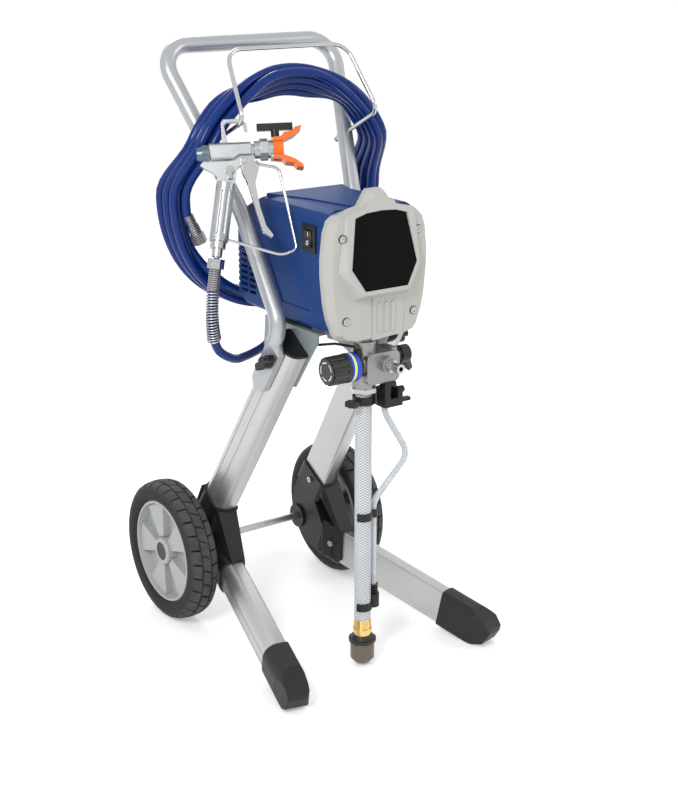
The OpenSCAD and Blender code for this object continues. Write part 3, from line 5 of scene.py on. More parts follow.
import bpy
import numpy as np
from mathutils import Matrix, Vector


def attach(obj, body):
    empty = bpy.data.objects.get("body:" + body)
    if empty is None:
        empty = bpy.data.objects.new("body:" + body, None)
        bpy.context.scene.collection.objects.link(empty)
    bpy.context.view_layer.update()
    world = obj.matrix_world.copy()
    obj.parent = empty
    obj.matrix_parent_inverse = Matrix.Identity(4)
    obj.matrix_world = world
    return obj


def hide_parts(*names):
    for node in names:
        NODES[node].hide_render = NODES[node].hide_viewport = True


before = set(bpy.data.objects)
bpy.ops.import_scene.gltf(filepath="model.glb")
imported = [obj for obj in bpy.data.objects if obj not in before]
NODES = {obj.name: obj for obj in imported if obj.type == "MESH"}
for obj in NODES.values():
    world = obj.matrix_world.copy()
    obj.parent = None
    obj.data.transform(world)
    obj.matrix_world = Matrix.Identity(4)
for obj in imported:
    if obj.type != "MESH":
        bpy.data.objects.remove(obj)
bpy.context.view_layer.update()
AXLE_Y = 144.075
WHEEL_RADIUS = 114.3
PUMP_X, PUMP_Y = -15, -321


def row(p):
    """Millimetres about the axle to metres in the row frame."""
    p = np.asarray(p, float)
    return (p + [0, AXLE_Y, 0]) / 1000


# ---------------------------------------------------------------- camera

camera = bpy.data.objects.new("camera", bpy.data.cameras.new("camera"))
camera.data.lens = 68.008
camera.data.sensor_width = 36
camera.location = (-1.2385, -1.83533, 1.0845)
camera.rotation_euler = (math.radians(72.41), 0, math.radians(-35.43))
bpy.context.collection.objects.link(camera)
bpy.context.scene.camera = camera


# ---------------------------------------------------------------- meshes

def mesh_object(name, verts, faces, smooth=True):
    """Object at the origin with the given corners in metres and faces."""
    mesh = bpy.data.meshes.new(name)
    mesh.from_pydata(np.asarray(verts).tolist(), [], [list(f) for f in faces])
    mesh.polygons.foreach_set("use_smooth", [smooth] * len(mesh.polygons))
    mesh.update()
    obj = bpy.data.objects.new(name, mesh)
    bpy.context.collection.objects.link(obj)
    return obj


def unit(v):
    """Vectors of length 1."""
    return v / np.linalg.norm(v, axis=-1, keepdims=True)


def frames(path):
    """Directions along a path and two normals across it, from the cross product with the Y axis."""
    d = unit(np.gradient(path, axis=0))
    n = unit(np.cross(d, [0, 1, 0]))
    return d, n, np.cross(d, n)


def tube(name, path, radius, sides):
    """Closed round tube about a path: point i, j is path[i] + r (cos a_j n_i + sin a_j b_i)."""
    _, n, b = frames(path)
    a = np.arange(sides) * 2 * math.pi / sides
    r = np.broadcast_to(np.asarray(radius, float), (len(path),))[:, None, None]
    cos, sin = np.cos(a)[None, :, None], np.sin(a)[None, :, None]
    rings = path[:, None] + r * (cos * n[:, None] + sin * b[:, None])
    verts = np.concatenate([rings.reshape(-1, 3), path[:1], path[-1:]])
    i, j = np.meshgrid(np.arange(len(path) - 1), np.arange(sides), indexing="ij")
    k = (j + 1) % sides
    here, there = i * sides, (i + 1) * sides
    quads = np.stack([here + j, there + j, there + k, here + k], -1).reshape(-1, 4)
    j = np.arange(sides)
    k = (j + 1) % sides
    last = (len(path) - 1) * sides
    ends = np.concatenate([
        np.stack([np.full(sides, last + sides), j, k], -1),
        np.stack([np.full(sides, last + sides + 1), last + k, last + j], -1)])
    return mesh_object(name, verts, quads.tolist() + ends.tolist())


def resample(path, step):
    """Points at even distances along a polyline."""
    s = np.concatenate([[0], np.cumsum(np.linalg.norm(np.diff(path, axis=0), axis=1))])
    t = np.linspace(0, s[-1], max(2, int(round(s[-1] / step)) + 1))
    return np.stack([np.interp(t, s, path[:, c]) for c in range(3)], -1)


def smooth_curve(points, per):
    """Catmull-Rom curve: each span is the cubic through its ends with the mean slopes of their neighbours."""
    p = np.asarray(points, float)
    p = np.concatenate([2 * p[:1] - p[1:2], p, 2 * p[-1:] - p[-2:-1]])
    t = np.linspace(0, 1, per, endpoint=False)[:, None]
    spans = [0.5 * (2 * p[i] + (p[i + 1] - p[i - 1]) * t
                    + (2 * p[i - 1] - 5 * p[i] + 4 * p[i + 1] - p[i + 2]) * t ** 2
                    + (3 * p[i] - p[i - 1] - 3 * p[i + 1] + p[i + 2]) * t ** 3)
             for i in range(1, len(p) - 2)]
    return np.concatenate(spans + [p[-2:-1]])


# ---------------------------------------------------------------- hose

HOSE_D = 0.0137
RING_RADIUS = 176
RING_Y, RING_Z = -60, 699
SIDE_GAP, RACK_GAP, LAYER_GAP = 20, 14.25, 14.3
FIRST_CROSSING = 205
COIL_START, COIL_END = 277, 2713
# Places of the strands in the section of the ring, in gaps across and in layers outwards
PLACES = np.array([[-2, .5], [-1, .5], [0, .5], [1, .5], [1.5, -.5], [.5, -.5], [-.5, -.5], [-1.5, -.5]])


def ease(t):
    """0 below 0, 1 above 1, and 3t^2 - 2t^3 between."""
    c = np.clip(t, 0, 1)
    return c * c * (3 - 2 * c)


def coil_path(a):
    """Middle line of the coil at the angles a in degrees.

    The hose goes round a ring. The section of the ring has two layers of places, and the hose moves from one
    place to the next once a turn, at the bottom. At the sides the places lie a side gap apart, and near the
    rack they close up and tilt by 45 degrees.
    """
    lap = np.floor((a - FIRST_CROSSING) / 360).astype(int)
    here, there = PLACES[lap], PLACES[np.minimum(lap + 1, len(PLACES) - 1)]
    start = np.where(here[:, 1] < 0, 0, np.where(there[:, 1] < 0, 35, 70))
    t = ease((a - FIRST_CROSSING - 360 * lap - start) / 30)[:, None]
    s = here * (1 - t) + there * t
    rise = np.maximum(0, 90 - np.abs(a % 360 - 90))
    sin, cos = np.sin(np.radians(a)), np.cos(np.radians(a))
    forward = 51 * ease(rise / 28) - 8 * ease((rise - 50) / 40)
    y = RING_Y + np.where(sin < 0, 20 * sin ** 2, -forward)
    radius = RING_RADIUS - 2.5 * ease(rise / 25) - 8 * ease((rise - 46) / 30)
    tilt = np.radians(45 * ease((rise - 46) / 34))
    u = s[:, 0] * (SIDE_GAP - (SIDE_GAP - RACK_GAP) * ease(rise / 24))
    v = s[:, 1] * LAYER_GAP
    r = radius - u * np.sin(tilt) + v * np.cos(tilt)
    y = y + u * np.cos(tilt) + v * np.sin(tilt)
    return np.stack([r * cos, y, RING_Z + r * sin], -1)


GUN_END = [-186.1, -203.1, 632.9]
LEAD_START = [-196.3, -208, 587.7]
LEAD = [GUN_END, LEAD_START, [-199, -209, 555], [-197, -207, 534], [-191, -201, 513], [-179, -192, 495],
        [-158, -180, 480], [-134, -165, 469], [-108, -149, 465], [-82, -134, 464], [-56, -120, 466],
        [-32, -107, 475], [-10, -94, 491], [4, -84, 509]]
COIL_STEP = 4.0

coil = coil_path(np.arange(COIL_START, COIL_END + .1, COIL_STEP))
lead = smooth_curve(LEAD + [coil[0], coil[4]], 8)[:-8]
hose_path = row(np.concatenate([lead[:-1], coil]))
hose = tube("hose", hose_path, HOSE_D / 2, 20)
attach(hose, "frame")
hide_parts("hose_lead", "hose_coil")

# Spring that guards the hose below its ferrule: a helix whose radius grows to a bell at its free end
TURNS, POINTS_PER_TURN = 19, 18
SPRING_LENGTH, FINE_STEP = 0.075, 0.0005
SPRING_RADIUS, BELL, WIRE_RADIUS = 0.0083, 0.0012, 0.0012
ferrule_end = int(np.argmin(np.linalg.norm(hose_path - row(LEAD_START), axis=1)))
covered = resample(hose_path[ferrule_end:ferrule_end + 40], FINE_STEP)[:round(SPRING_LENGTH / FINE_STEP)]
spring_line = resample(covered, SPRING_LENGTH / (TURNS * POINTS_PER_TURN))
turns = np.linspace(0, 2 * math.pi * TURNS, len(spring_line))
_, across, beside = frames(spring_line)
grow = SPRING_RADIUS + BELL * np.linspace(0, 1, len(turns)) ** 3
helix = spring_line + grow[:, None] * (np.cos(turns)[:, None] * across + np.sin(turns)[:, None] * beside)
spring = tube("hose_spring", helix, WIRE_RADIUS, 6)
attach(spring, "frame")

# Stem of the swivel, which goes into the hose nut along the grip's direction
GRIP = np.array([-.32092, -.25510, -.91211])
STEM_ABOVE, STEM_INSIDE, STEM_RADIUS = 4.5, .8, 0.0038
stem_line = np.linspace(GUN_END - STEM_ABOVE * GRIP, GUN_END + STEM_INSIDE * GRIP, 3)
stem = tube("swivel_stem", row(stem_line), STEM_RADIUS, 24)
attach(stem, "frame")


# ---------------------------------------------------------------- dark sheet behind the louvres, as painted shade

SHADE_SHEET_LOW, SHADE_SHEET_HIGH = 548, 622
SHADE_SHEET_FRONT = -136
CORNER_X, CORNER_Y = 56, -92
CORNER_RADIUS, SHEET_THICKNESS = 15, 1


def shade_sheet_line(radius):
    """Back along the left wall, a quarter circle about each rear corner's centre, forward along the right."""
    a = np.linspace(0, math.pi / 2, 9)
    left = np.stack([-CORNER_X - radius * np.cos(a), CORNER_Y + radius * np.sin(a)], -1)
    half = np.concatenate([[[-CORNER_X - radius, SHADE_SHEET_FRONT]], left])
    return np.concatenate([half, half[::-1] * [-1, 1]])


def louvre_shade_sheet(name):
    """Upright strip of dark sheet that paints the shade behind the louvres: the sheet line and one a sheet's
    thickness inside it, carried upwards.
    """
    line = np.concatenate([shade_sheet_line(CORNER_RADIUS), shade_sheet_line(CORNER_RADIUS - SHEET_THICKNESS)])
    n = len(line) // 2
    verts = row(np.concatenate([np.c_[line, np.full(2 * n, z)] for z in (SHADE_SHEET_LOW, SHADE_SHEET_HIGH)]))
    i = np.arange(n - 1)
    j = i + 1
    up = 2 * n
    outside = np.stack([i + up, j + up, j, i], -1)
    inside = np.stack([i + n, j + n, j + n + up, i + n + up], -1)
    bottom = np.stack([i, j, j + n, i + n], -1)
    top = np.stack([i + up, i + n + up, j + n + up, j + up], -1)
    ends = [[0, n, n + up, up], [n - 1 + up, up + up - 1, up - 1, n - 1]]
    faces = np.concatenate([outside, inside, bottom, top, ends])
    return mesh_object(name, verts, faces, smooth=False)


# Dark sheet behind the louvres: painted shade where the inside of the shroud lies in shadow
shade_sheet = louvre_shade_sheet("louvre_shade_sheet")
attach(shade_sheet, "frame")


# ---------------------------------------------------------------- shader groups

def node(tree, kind, attrs=None, **ins):
    """A shader node with its settings, and its inputs by index (i0, i1, ...) or by name."""
    made = tree.nodes.new("ShaderNode" + kind)
    for key, value in (attrs or {}).items():
        setattr(made, key, value)
    for key, value in ins.items():
        socket = made.inputs[int(key[1:])] if key[1:].isdigit() else made.inputs[key.replace("_", " ")]
        if isinstance(value, bpy.types.NodeSocket):
            tree.links.new(value, socket)
        else:
            socket.default_value = value
    return made


def calc(tree, op, a, b=0.0, c=0.0):
    """Result of one sum on up to three values."""
    return node(tree, "Math", {"operation": op}, i0=a, i1=b, i2=c).outputs[0]


def mix(tree, fac, a, b):
    """Colour a where fac is 0 and colour b where it is 1."""
    made = node(tree, "Mix", {"data_type": "RGBA"}, i0=fac, i6=a, i7=b)
    return made.outputs[2]


def step(tree, value, low, high):
    """0 below low, 1 above high, smooth between."""
    made = node(tree, "MapRange", {"interpolation_type": "SMOOTHSTEP"}, i0=value, i1=low, i2=high)
    return made.outputs[0]


def group(name, ins, outs):
    """A shared effect with its inputs (label, kind, value) and outputs (label, kind)."""
    tree = bpy.data.node_groups.new(name, "ShaderNodeTree")
    for label, kind, value in ins:
        socket = tree.interface.new_socket(label, in_out="INPUT", socket_type="NodeSocket" + kind)
        if value is not None:
            socket.default_value = value
    for label, kind in outs:
        tree.interface.new_socket(label, in_out="OUTPUT", socket_type="NodeSocket" + kind)
    return tree, tree.nodes.new("NodeGroupInput").outputs, tree.nodes.new("NodeGroupOutput").inputs


def use(tree, shared, **ins):
    """Place a shared effect in a tree with its own values."""
    made = tree.nodes.new("ShaderNodeGroup")
    made.node_tree = shared
    for key, value in ins.items():
        socket = made.inputs[key]
        if isinstance(value, bpy.types.NodeSocket):
            tree.links.new(value, socket)
        else:
            socket.default_value = value
    return made.outputs


def coords(tree):
    """Object coordinates in metres."""
    return node(tree, "TexCoord").outputs["Object"]


def split(tree, vector):
    """The three parts of a vector."""
    return node(tree, "SeparateXYZ", i0=vector).outputs


# Uneven colour: Patches are broad clouds and Specks are fine, both round 0.5
TONE, i, o = group("uneven_tone",
                   [("Color", "Color", (1, 1, 1, 1)), ("Patches", "Float", .1), ("Specks", "Float", .1),
                    ("Scale", "Float", 900.0)],
                   [("Color", "Color"), ("Cloud", "Float")])
cloud = node(TONE, "TexNoise", i0=coords(TONE), Scale=14.0, Detail=4.0).outputs[0]
fleck = node(TONE, "TexNoise", i0=coords(TONE), Scale=i["Scale"], Detail=2.0).outputs[0]
patches = calc(TONE, "MULTIPLY", i["Patches"], 2)
specks = calc(TONE, "MULTIPLY", i["Specks"], 2)
gain = calc(TONE, "MULTIPLY_ADD", calc(TONE, "SUBTRACT", cloud, .5), patches, 1.0)
gain = calc(TONE, "MULTIPLY_ADD", calc(TONE, "SUBTRACT", fleck, .5), specks, gain)
shade = node(TONE, "VectorMath", {"operation": "SCALE"}, i0=i["Color"], Scale=gain).outputs[0]
TONE.links.new(shade, o["Color"])
TONE.links.new(cloud, o["Cloud"])

# Rounded edges with a fine grain on them; Height is added to the grain
GRAIN, i, o = group("edge_and_grain",
                    [("Edge", "Float", .0006), ("Scale", "Float", 1500.0), ("Depth", "Float", .00004),
                     ("Height", "Float", 0.0)],
                    [("Normal", "Vector")])
edge = node(GRAIN, "Bevel", {"samples": 4}, Radius=i["Edge"]).outputs[0]
fine = node(GRAIN, "TexNoise", i0=coords(GRAIN), Scale=i["Scale"], Detail=3.0).outputs[0]
high = calc(GRAIN, "MULTIPLY_ADD", fine, i["Depth"], i["Height"])
bump = node(GRAIN, "Bump", Height=high, Distance=1.0, Strength=1.0, Normal=edge).outputs[0]
GRAIN.links.new(bump, o["Normal"])

# Lines drawn along a direction, as on a brushed or extruded bar
LINES, i, o = group("drawn_lines",
                    [("Turn", "Vector", (0, 0, 0)), ("Along", "Float", 3.0), ("Across", "Float", 900.0)],
                    [("Lines", "Float")])
turned = node(LINES, "Mapping", {"vector_type": "TEXTURE"}, i0=coords(LINES), Rotation=i["Turn"]).outputs[0]
stretch = node(LINES, "CombineXYZ", i0=i["Across"], i1=i["Across"], i2=i["Along"]).outputs[0]
scaled = node(LINES, "VectorMath", {"operation": "MULTIPLY"}, i0=turned, i1=stretch).outputs[0]
LINES.links.new(node(LINES, "TexNoise", i0=scaled, Scale=1.0, Detail=3.0).outputs[0], o["Lines"])


def material(name, color, rough, metal=0.0, patches=.05, specks=.04, scale=900.0, grain=1500.0, depth=.00003,
             edge=.0006, coat=0.0, vary=.08, paint=None, **sockets):
    """A finish: uneven colour and roughness, a grain and soft edges. paint may change colour and height."""
    made = bpy.data.materials.new(name)
    made.use_nodes = True
    tree = made.node_tree
    shader = tree.nodes["Principled BSDF"]
    color = (*color, 1.0)
    height = 0.0
    extra = {}
    if paint:
        color, height, extra = paint(tree, color)
    tone = use(tree, TONE, Color=color, Patches=patches, Specks=specks, Scale=scale)
    tree.links.new(tone["Color"], shader.inputs["Base Color"])
    rough_in = extra.pop("rough", rough)
    tree.links.new(calc(tree, "MULTIPLY_ADD", calc(tree, "SUBTRACT", tone["Cloud"], .5), vary * 2, rough_in),
                   shader.inputs["Roughness"])
    normal = use(tree, GRAIN, Edge=edge, Scale=grain, Depth=depth, Height=height)["Normal"]
    tree.links.new(normal, shader.inputs["Normal"])
    shader.inputs["Metallic"].default_value = metal
    shader.inputs["Coat Weight"].default_value = coat
    shader.inputs["Coat Roughness"].default_value = .12
    for key, value in {**sockets, **extra}.items():
        socket = shader.inputs[key.replace("_", " ")]
        if isinstance(value, bpy.types.NodeSocket):
            tree.links.new(value, socket)
        else:
            socket.default_value = value
    return made


# ---------------------------------------------------------------- finishes

def drawn(turn, along=3.0, across=900.0, amount=.12, depth=.00002):
    """Fine lines along the Z axis of a turned frame, as paint for a drawn or turned piece."""
    def paint(tree, color):
        lines = use(tree, LINES, Turn=turn, Along=along, Across=across)["Lines"]
        gain = calc(tree, "MULTIPLY_ADD", calc(tree, "SUBTRACT", lines, .5), amount * 2, 1.0)
        shade = node(tree, "VectorMath", {"operation": "SCALE"}, i0=color[:3], Scale=gain).outputs[0]
        return shade, calc(tree, "MULTIPLY", lines, depth), {}
    return paint


def away(tree, start):
    """Vector in metres from a point given in millimetres from the axle."""
    operation = {"operation": "SUBTRACT"}
    return node(tree, "VectorMath", operation, i0=coords(tree), i1=tuple(row(start))).outputs[0]


def about(tree, x, y, z):
    """Coordinates about a point given in millimetres from the axle."""
    return split(tree, away(tree, [x, y, z]))


def along(tree, start, direction):
    """Distance in metres along a direction from a point given in millimetres from the axle."""
    operation = {"operation": "DOT_PRODUCT"}
    return node(tree, "VectorMath", operation, i0=away(tree, start), i1=tuple(direction)).outputs["Value"]


def length_of(tree, a, b):
    """Length of the vector with the two parts a and b."""
    return calc(tree, "SQRT", calc(tree, "ADD", calc(tree, "POWER", a, 2.0), calc(tree, "POWER", b, 2.0)))


# The gun hangs turned: its barrel, its side, its height and its grip in the row frame
BARREL = (.88265, -.46931, .02618)
GUN_SIDE = (.44258, .81103, -.38255)
GUN_UP = (.15831, .34924, .92356)
NUT_END = [-82.6, -191.8, 776.6]
GRIP_TOP = [-151.3, -175.4, 731.8]


def gun_paint(tree, color):
    """Bright casting with a blue-grey rear cap and a fine knurl on the grip."""
    cap_start, cap_low = -.0905, -.014
    knurl_top, knurl_end = .010, .080
    back = calc(tree, "LESS_THAN", along(tree, NUT_END, BARREL), cap_start)
    level = calc(tree, "GREATER_THAN", along(tree, NUT_END, GUN_UP), cap_low)
    shade = mix(tree, calc(tree, "MULTIPLY", back, level), color, (.13, .17, .20, 1))
    down = along(tree, GRIP_TOP, GRIP)
    below = calc(tree, "GREATER_THAN", down, knurl_top)
    part = calc(tree, "MULTIPLY", below, calc(tree, "LESS_THAN", down, knurl_end))
    one = calc(tree, "SINE", calc(tree, "MULTIPLY", along(tree, GRIP_TOP, GUN_SIDE), 2600.0))
    two = calc(tree, "SINE", calc(tree, "MULTIPLY", down, 1900.0))
    knurl = calc(tree, "MULTIPLY", calc(tree, "MULTIPLY", one, two), part)
    return shade, calc(tree, "MULTIPLY", knurl, .00022), {}


def guard_paint(tree, color):
    """Orange guard in front of a bright metal nut."""
    nut = calc(tree, "LESS_THAN", along(tree, NUT_END, BARREL), 0.0)
    return mix(tree, nut, color, (.42, .43, .44, 1)), 0.0, {"Metallic": nut}


def ferrule_paint(tree, color):
    """Close windings of the bend guards round the ferrules at both ends of the hose, with painted shade
    darkening the grooves between the windings.
    """
    nut, ferrule, between = .0145, .0335, -130
    near = along(tree, GUN_END, unit(np.subtract(LEAD_START, GUN_END)))
    far = along(tree, coil[-1], unit(np.array([.4, -.1, -.92])))
    front = calc(tree, "LESS_THAN", about(tree, 0, between, 0)[1], 0.0)
    wound = calc(tree, "MULTIPLY", calc(tree, "GREATER_THAN", near, nut), front)
    other = calc(tree, "MULTIPLY", calc(tree, "LESS_THAN", far, ferrule), calc(tree, "SUBTRACT", 1.0, front))
    pitch = 2 * math.pi / .0031
    one = calc(tree, "MULTIPLY", calc(tree, "SINE", calc(tree, "MULTIPLY", near, pitch)), wound)
    two = calc(tree, "MULTIPLY", calc(tree, "SINE", calc(tree, "MULTIPLY", far, pitch)), other)
    wires = calc(tree, "ADD", one, two)
    # Painted shade: the troughs between the windings are given a dark grey, standing in for the shadow in the
    # grooves
    painted_groove_shade = calc(tree, "SUBTRACT", 1.0, step(tree, wires, -.95, -.35))
    return mix(tree, painted_groove_shade, color, (.10, .105, .11, 1)), calc(tree, "MULTIPLY", wires, .0006), {}


def floor_paint(tree, color):
    """Pale floor that the camera and reflections see a little brighter."""
    path = node(tree, "LightPath").outputs
    seen = calc(tree, "MAXIMUM", path["Is Camera Ray"], path["Is Glossy Ray"])
    seen = calc(tree, "MAXIMUM", seen, path["Is Transmission Ray"])
    glow = calc(tree, "MULTIPLY", seen, .30)
    return color, 0.0, {"Emission_Strength": glow, "Emission_Color": (1, 1, 1, 1)}


def braid(tree, color):
    """Two sets of threads wound round the suction tube, with clear vinyl between them."""
    threads_round, climb_rate = 12.0, 1500.0
    c = about(tree, PUMP_X, PUMP_Y, 0)
    turn = calc(tree, "MULTIPLY", calc(tree, "ARCTAN2", c[1], c[0]), threads_round)
    climb = calc(tree, "MULTIPLY", c[2], climb_rate)
    one = calc(tree, "SINE", calc(tree, "ADD", turn, climb))
    two = calc(tree, "SINE", calc(tree, "SUBTRACT", turn, climb))
    threads = step(tree, calc(tree, "MAXIMUM", one, two), .75, .95)
    shade = mix(tree, threads, (.62, .66, .70, 1), (.90, .91, .92, 1))
    clear = calc(tree, "MULTIPLY_ADD", threads, -.45, .5)
    return shade, calc(tree, "MULTIPLY", threads, .0001), {"Transmission_Weight": clear}


def strainer_paint(tree, color):
    """Smoked mesh cup with a black flange above it."""
    c = about(tree, PUMP_X, PUMP_Y, 5)
    angle = calc(tree, "ARCTAN2", c[1], c[0])
    up = calc(tree, "SINE", calc(tree, "MULTIPLY", c[2], 4200.0))
    around = calc(tree, "SINE", calc(tree, "MULTIPLY", angle, 60.0))
    holes = step(tree, calc(tree, "MULTIPLY", up, around), -.2, .4)
    mesh = mix(tree, holes, (.045, .032, .022, 1), (.27, .21, .16, 1))
    flange = calc(tree, "GREATER_THAN", c[2], .0335)
    return mix(tree, flange, mesh, (.012, .012, .013, 1)), calc(tree, "MULTIPLY", holes, .0001), {}


def knob_paint(tree, color):
    """Blue collar with a yellow stripe that widens round it, and a broken white ring on the black face."""
    c = about(tree, -54, -328, 480)
    angle = calc(tree, "ARCTAN2", c[1], c[2])
    ring = calc(tree, "GREATER_THAN", c[0], .0002)
    lane = calc(tree, "MULTIPLY_ADD", angle, .0011, .0072)
    off = calc(tree, "ABSOLUTE", calc(tree, "SUBTRACT", c[0], lane))
    yellow = calc(tree, "SUBTRACT", 1.0, step(tree, off, .0011, .0014))
    white = calc(tree, "SUBTRACT", 1.0, step(tree, off, .0017, .002))
    blue = mix(tree, white, (.01, .075, .50, 1), (.85, .85, .85, 1))
    blue = mix(tree, yellow, blue, (.88, .80, .05, 1))
    radius = length_of(tree, c[1], c[2])
    outside = calc(tree, "GREATER_THAN", radius, .0122)
    band = calc(tree, "MULTIPLY", outside, calc(tree, "LESS_THAN", radius, .0138))
    gaps = calc(tree, "GREATER_THAN", calc(tree, "SINE", calc(tree, "MULTIPLY", angle, 5.0)), -.55)
    face = calc(tree, "LESS_THAN", c[0], -.0315)
    marks = calc(tree, "MULTIPLY", calc(tree, "MULTIPLY", band, gaps), face)
    shade = mix(tree, marks, color, (.80, .80, .78, 1))
    return mix(tree, ring, shade, blue), 0.0, {}


def tyre_paint(tree, color):
    """Rubber that is paler with dust towards the tread, with fine rings moulded in the side."""
    c = about(tree, 0, 0, WHEEL_RADIUS)
    radius = length_of(tree, c[1], c[2])
    dust = step(tree, radius, .098, .114)
    cloud = node(tree, "TexNoise", i0=coords(tree), Scale=60.0, Detail=5.0).outputs[0]
    shade = mix(tree, calc(tree, "MULTIPLY", dust, cloud), color, (.11, .108, .105, 1))
    rings = calc(tree, "SINE", calc(tree, "MULTIPLY", radius, 2500.0))
    side = calc(tree, "SUBTRACT", 1.0, step(tree, radius, .098, .101))
    return shade, calc(tree, "MULTIPLY", calc(tree, "MULTIPLY", rings, side), .00025), {}


def cover_paint(tree, color):
    """Warm grey cast paint with a sandy grain."""
    sand = node(tree, "TexVoronoi", i0=coords(tree), Scale=900.0).outputs[0]
    return color, calc(tree, "MULTIPLY", sand, -.00012), {}


def rocker_paint(tree, color):
    """The plain on and off marks of a rocker: a white bar above a white ring."""
    c = about(tree, -78, -277, 662)
    narrow = calc(tree, "LESS_THAN", calc(tree, "ABSOLUTE", c[1]), .0007)
    height = calc(tree, "ABSOLUTE", calc(tree, "SUBTRACT", c[2], .0062))
    bar = calc(tree, "MULTIPLY", narrow, calc(tree, "LESS_THAN", height, .0029))
    low = calc(tree, "ADD", c[2], .006)
    radius = length_of(tree, c[1], low)
    ring = calc(tree, "LESS_THAN", calc(tree, "ABSOLUTE", calc(tree, "SUBTRACT", radius, .0025)), .0006)
    return mix(tree, calc(tree, "MAXIMUM", bar, ring), color, (.80, .80, .80, 1)), 0.0, {}


LEG_RAKE, LOW_SLOPE = math.radians(32.34), math.radians(-77.7)
FINISH = {
    "leg": material("brushed_extrusion", (.52, .52, .515), .32, .9, paint=drawn((LEG_RAKE, 0, 0))),
    "leg_low": material("brushed_extrusion_low", (.52, .52, .515), .32, .9, paint=drawn((LOW_SLOPE, 0, 0))),
    "hub": material("grey_hub", (.40, .41, .42), .5, specks=.08, scale=2500.0, depth=.00006),
    "tyre": material("tyre_rubber", (.016, .016, .017), .72, patches=.25, specks=.2, depth=.0001,
                     paint=tyre_paint, Specular_IOR_Level=.3),
    "black": material("black_moulding", (.009, .009, .010), .40, patches=.2, specks=.15, depth=.00006,
                      edge=.0009, Specular_IOR_Level=.35),
    "rubber": material("foot_rubber", (.010, .010, .011), .5, patches=.25, specks=.2, depth=.00009,
                       edge=.0025, Specular_IOR_Level=.38),
    "silver": material("silver_paint", (.43, .445, .46), .34, .65, specks=.10, scale=4000.0, depth=.00002,
                       coat=.25),
    "grey": material("bracket_paint", (.30, .345, .37), .42, .2, specks=.08, scale=3000.0, depth=.00004),
    "shell": material("blue_shell", (.009, .045, .185), .44, patches=.06, specks=.05, grain=2600.0,
                      depth=.00004, edge=.0025, Specular_IOR_Level=.16),
    "cast_paint": material("cast_paint", (.47, .46, .43), .42, .1, patches=.04, specks=.07, scale=2200.0,
                           depth=.00003, edge=.0012, paint=cover_paint),
    "gun": material("gun_casting", (.40, .415, .43), .30, .9, patches=.20, specks=.12, scale=700.0,
                    depth=.00012, edge=.0012, paint=gun_paint),
    "ferrule": material("wound_ferrule", (.40, .41, .42), .28, 1.0, patches=.1, specks=.1, edge=.0004,
                        paint=ferrule_paint),
    "cast": material("die_casting", (.30, .298, .29), .34, .85, patches=.16, specks=.12, scale=700.0,
                     depth=.00012, edge=.0012),
    "zinc": material("zinc_plate", (.50, .49, .47), .30, 1.0, patches=.15, specks=.1),
    "steel": material("ground_steel", (.45, .46, .47), .26, 1.0, patches=.1, specks=.1),
    "chrome": material("bright_plate", (.52, .53, .54), .16, 1.0, patches=.08, specks=.05),
    "dark": material("dark_steel", (.16, .17, .18), .42, .7, patches=.12, specks=.1),
    "label": material("label_gloss", (.002, .002, .0025), .24, patches=.05, specks=.05, depth=.000004,
                      edge=.0003, vary=.03, Specular_IOR_Level=.08),
    "knob": material("knob_finish", (.016, .016, .017), .36, specks=.12, depth=.00005, edge=.0008,
                     paint=knob_paint),
    "braid": material("braided_tube", (.8, .8, .82), .22, grain=500.0, depth=.0, edge=.0002, paint=braid,
                      IOR=1.3),
    "clear": material("clear_tube", (.80, .84, .87), .12, depth=.0, edge=.0002, Transmission_Weight=.55,
                      IOR=1.35),
    "brass": material("turned_brass", (.80, .57, .23), .27, 1.0, patches=.12, specks=.1,
                      paint=drawn((0, 0, 0), along=2500.0, across=60.0)),
    "strainer": material("strainer_finish", (.05, .04, .03), .30, depth=.00003, edge=.0008,
                         paint=strainer_paint),
    "orange": material("orange_guard", (.80, .15, .010), .34, patches=.06, specks=.05, depth=.00003,
                       edge=.0012, paint=guard_paint),
    "hose": material("hose_jacket", (.003, .026, .175), .16, patches=.10, specks=.05, grain=700.0,
                     depth=.00003, edge=.0002, Specular_IOR_Level=.24),
    # Near-black finish of the sheet behind the louvres: painted shade, not a real cloth
    "shade_sheet": material("painted_shade_sheet", (.010, .012, .020), .8, patches=.2, specks=.3, scale=1500.0,
                       depth=.0002, edge=.0),
    "rocker": material("rocker_finish", (.012, .012, .013), .34, specks=.12, edge=.0006, paint=rocker_paint),
}
WEARS = {
    "leg": ["upper_leg_left", "upper_leg_right"],
    "leg_low": ["lower_leg_left", "lower_leg_right"],
    "hub": ["wheel_hub_left", "wheel_hub_right"],
    "tyre": ["tyre_left", "tyre_right"],
    "black": ["upper_leg_caps", "wheel_bracket_left", "wheel_bracket_right", "hub_cap_left",
              "hub_cap_right", "handle_knob_left", "handle_knob_right", "pressure_sensor",
              "prime_lever", "pail_hook", "tube_clips", "switch_bezel", "spray_tip", "prime_valve"],
    "rubber": ["feet", "cord_gland", "control_lead"],
    "silver": ["handle"],
    "grey": ["motor_bracket"],
    "shell": ["shroud"],
    "cast_paint": ["front_cover"],
    "cast": ["drive_housing", "pump_manifold", "trigger_lock"],
    "gun": ["gun_body"],
    "ferrule": ["hose_ends"],
    "zinc": ["screws", "axle", "axle_retainers", "frame_fasteners", "pump_cylinder"],
    "steel": ["rotor", "crank_gear", "gun_needle", "gun_swivel"],
    "chrome": ["hose_rack", "piston_rod", "outlet_fitting", "trigger", "trigger_guard"],
    "dark": ["motor_can", "connecting_rod"],
    "label": ["label_plate"],
    "knob": ["pressure_knob"],
    "rocker": ["power_rocker"],
    "braid": ["suction_tube"],
    "clear": ["drain_tube"],
    "strainer": ["strainer"],
    "brass": ["suction_adapter"],
    "orange": ["tip_guard"],
}
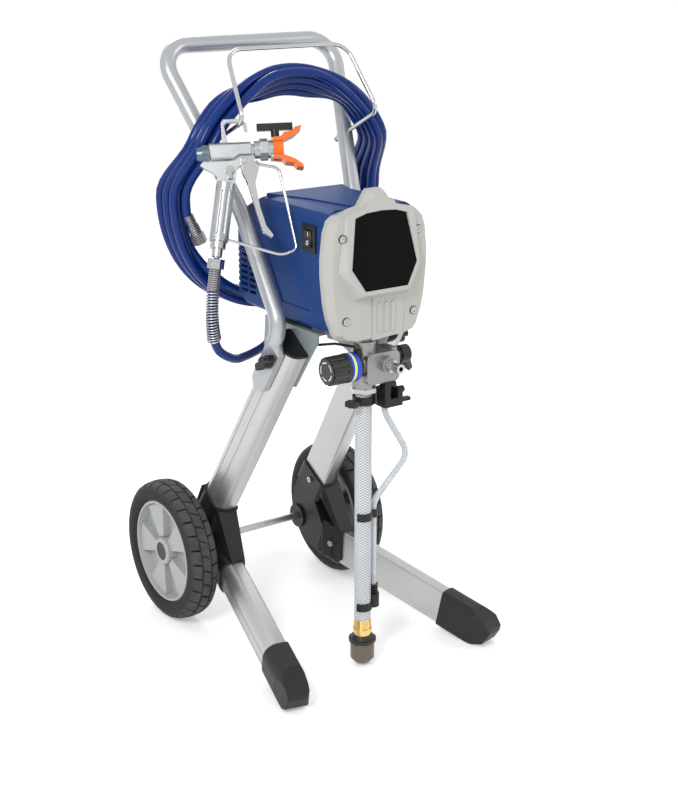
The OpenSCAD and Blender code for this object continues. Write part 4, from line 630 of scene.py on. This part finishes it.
for finish, names in WEARS.items():
    for name in names:
        slots = NODES[name].material_slots
        if not slots:
            NODES[name].data.materials.append(FINISH[finish])
        for slot in NODES[name].material_slots:
            slot.material = FINISH[finish]


def wear(obj, finish):
    """Give an object one finish."""
    obj.data.materials.clear()
    obj.data.materials.append(FINISH[finish])


wear(hose, "hose")
wear(spring, "steel")
wear(stem, "steel")
wear(shade_sheet, "shade_sheet")

# ---------------------------------------------------------------- floor and light

FLOOR_HALF = 40
corners = FLOOR_HALF * np.array([[-1, -1, 0], [1, -1, 0], [1, 1, 0], [-1, 1, 0]])
floor = mesh_object("floor", corners, [[0, 1, 2, 3]], smooth=False)
floor.data.materials.append(material("pale_floor", (.93, .93, .93), .7, patches=.004, specks=.0, depth=.0,
                                     edge=.0, paint=floor_paint))


def lamp(name, place, target, size, power):
    """Round lamp of the given size in metres and power in watts, turned towards the target."""
    light = bpy.data.lights.new(name, "AREA")
    light.shape = "DISK"
    light.size = size
    light.energy = power
    obj = bpy.data.objects.new(name, light)
    bpy.context.collection.objects.link(obj)
    obj.location = place
    back = Vector(place) - Vector(target)
    obj.rotation_euler = back.to_track_quat("Z", "Y").to_euler()


lamp("key", (-2.4, -1.7, 2.5), (0, 0, .4), 1.0, 56)
lamp("fill", (2.6, -1.8, 1.8), (0, 0, .4), 1.4, 14)
lamp("rim", (.8, 2.6, 2.4), (0, 0, .5), 1.2, 26)

# The room lights the object at WORLD_LIGHT, and the camera, metal and clear parts see it white
WORLD_LIGHT = .72
world = bpy.data.worlds.new("studio")
world.use_nodes = True
sky = world.node_tree
seen = node(sky, "LightPath").outputs
white = calc(sky, "MAXIMUM", seen["Is Camera Ray"], seen["Is Glossy Ray"])
white = calc(sky, "MAXIMUM", white, seen["Is Transmission Ray"])
background = sky.nodes["Background"].inputs
background["Color"].default_value = (1, 1, 1, 1)
sky.links.new(calc(sky, "MULTIPLY_ADD", white, 1 - WORLD_LIGHT, WORLD_LIGHT), background["Strength"])
bpy.context.scene.world = world
bpy.context.scene.view_settings.view_transform = "Standard"
